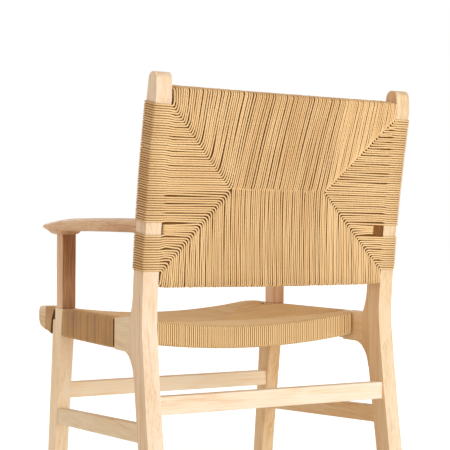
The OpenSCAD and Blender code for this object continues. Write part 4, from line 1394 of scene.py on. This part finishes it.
def seen_by_camera(tree):
    """1 for what the camera sees, straight, in a gloss or through glass, and 0 for other light."""
    ray = add(tree, "ShaderNodeLightPath").outputs
    seen = ray["Is Camera Ray"]
    for way in ("Is Glossy Ray", "Is Transmission Ray"):
        seen = add(tree, "ShaderNodeMath", {0: seen, 1: ray[way]}, operation="MAXIMUM")
    return seen


def floor_white():
    """Matt white floor. The camera sees it white, with the object's shadow near the object."""
    material = bpy.data.materials.new("floor_matt_white")
    tree = cleared(material)
    seen = seen_by_camera(tree)
    colours = {6: linear(FLOOR_WHITE), 7: (0.5, 0.5, 0.5, 1)}
    shade = add(tree, "ShaderNodeMix", {"Factor": seen}, colours, data_type="RGBA")
    matt = add(tree, "ShaderNodeBsdfDiffuse", {"Color": shade.outputs[2]})
    place = add(tree, "ShaderNodeTexCoord").outputs["Object"]
    away = add(tree, "ShaderNodeVectorMath", {0: place}, operation="LENGTH").outputs["Value"]
    level = add(tree, "ShaderNodeMapRange", {"Value": away}, GLOW_WAY)
    glow = add(tree, "ShaderNodeMath", {0: seen, 1: level}, operation="MULTIPLY")
    white = add(tree, "ShaderNodeEmission", {"Strength": glow}, {"Color": (1, 1, 1, 1)})
    both = add(tree, "ShaderNodeAddShader", {0: matt, 1: white})
    add(tree, "ShaderNodeOutputMaterial", {"Surface": both})
    return material


corners = [(x * FLOOR_HALF, y * FLOOR_HALF, 0) for x, y in ((-1, -1), (1, -1), (1, 1), (-1, 1))]
floor_mesh = bpy.data.meshes.new("floor")
floor_mesh.from_pydata(corners, [], [(0, 1, 2, 3)])
object_of("floor", floor_mesh, floor_white())

scene = bpy.context.scene
scene.view_settings.view_transform = "Standard"
scene.world = bpy.data.worlds.new("studio")
tree = cleared(scene.world)
fill = {"Color": linear(FILL_COLOUR), "Strength": FILL_STRENGTH}
fill = add(tree, "ShaderNodeBackground", None, fill)
white = add(tree, "ShaderNodeBackground", None, {"Color": (1, 1, 1, 1), "Strength": 1})
both = add(tree, "ShaderNodeMixShader", {0: seen_by_camera(tree), 1: fill, 2: white})
add(tree, "ShaderNodeOutputWorld", {"Surface": both})

LIT_POINT = Vector((0, 0, 0.5))


def soft_box(name, at, width, height, power, colour="#FFFFFF"):
    """A rectangular lamp that points at the middle of the chair."""
    lamp = bpy.data.lights.new(name, "AREA")
    lamp.shape, lamp.size, lamp.size_y, lamp.energy = "RECTANGLE", width, height, power
    lamp.color = linear(colour)[:3]
    holder = bpy.data.objects.new(name, lamp)
    holder.location = at
    holder.rotation_mode = "QUATERNION"
    holder.rotation_quaternion = (LIT_POINT - Vector(at)).to_track_quat("-Z", "Y")
    scene.collection.objects.link(holder)


soft_box("key", (-0.6, 3.6, 0.88), 2.4, 1.6, 65)
soft_box("side_fill", (3.2, -0.3, 0.7), 1.4, 1.2, 7.2, "#FFE7CE")
soft_box("front_fill", (0.6, -3.0, 2.4), 2.0, 2.0, 24)

# Camera, solved from the chair's straight edges: behind the chair and to its left
CAMERA_AT, LENS_MM, SENSOR_MM = (1.0615, 2.0409, 0.5826), 88.82, 36
YAW, PITCH, ROLL = (math.radians(a) for a in (28.065, 0.833, 0.219))
level = math.cos(PITCH)
forward = Vector((-math.sin(YAW) * level, -math.cos(YAW) * level, math.sin(PITCH)))
right = forward.cross(Vector((0, 0, 1))).normalized()
up = right.cross(forward)
tilted_right = right * math.cos(ROLL) + up * math.sin(ROLL)
tilted_up = up * math.cos(ROLL) - right * math.sin(ROLL)
camera_data = bpy.data.cameras.new("camera")
camera_data.sensor_width, camera_data.lens = SENSOR_MM, LENS_MM
camera = bpy.data.objects.new("camera", camera_data)
turn = Matrix((tilted_right, tilted_up, -forward)).transposed().to_4x4()
camera.matrix_world = Matrix.Translation(Vector(CAMERA_AT)) @ turn
scene.collection.objects.link(camera)
scene.camera = camera
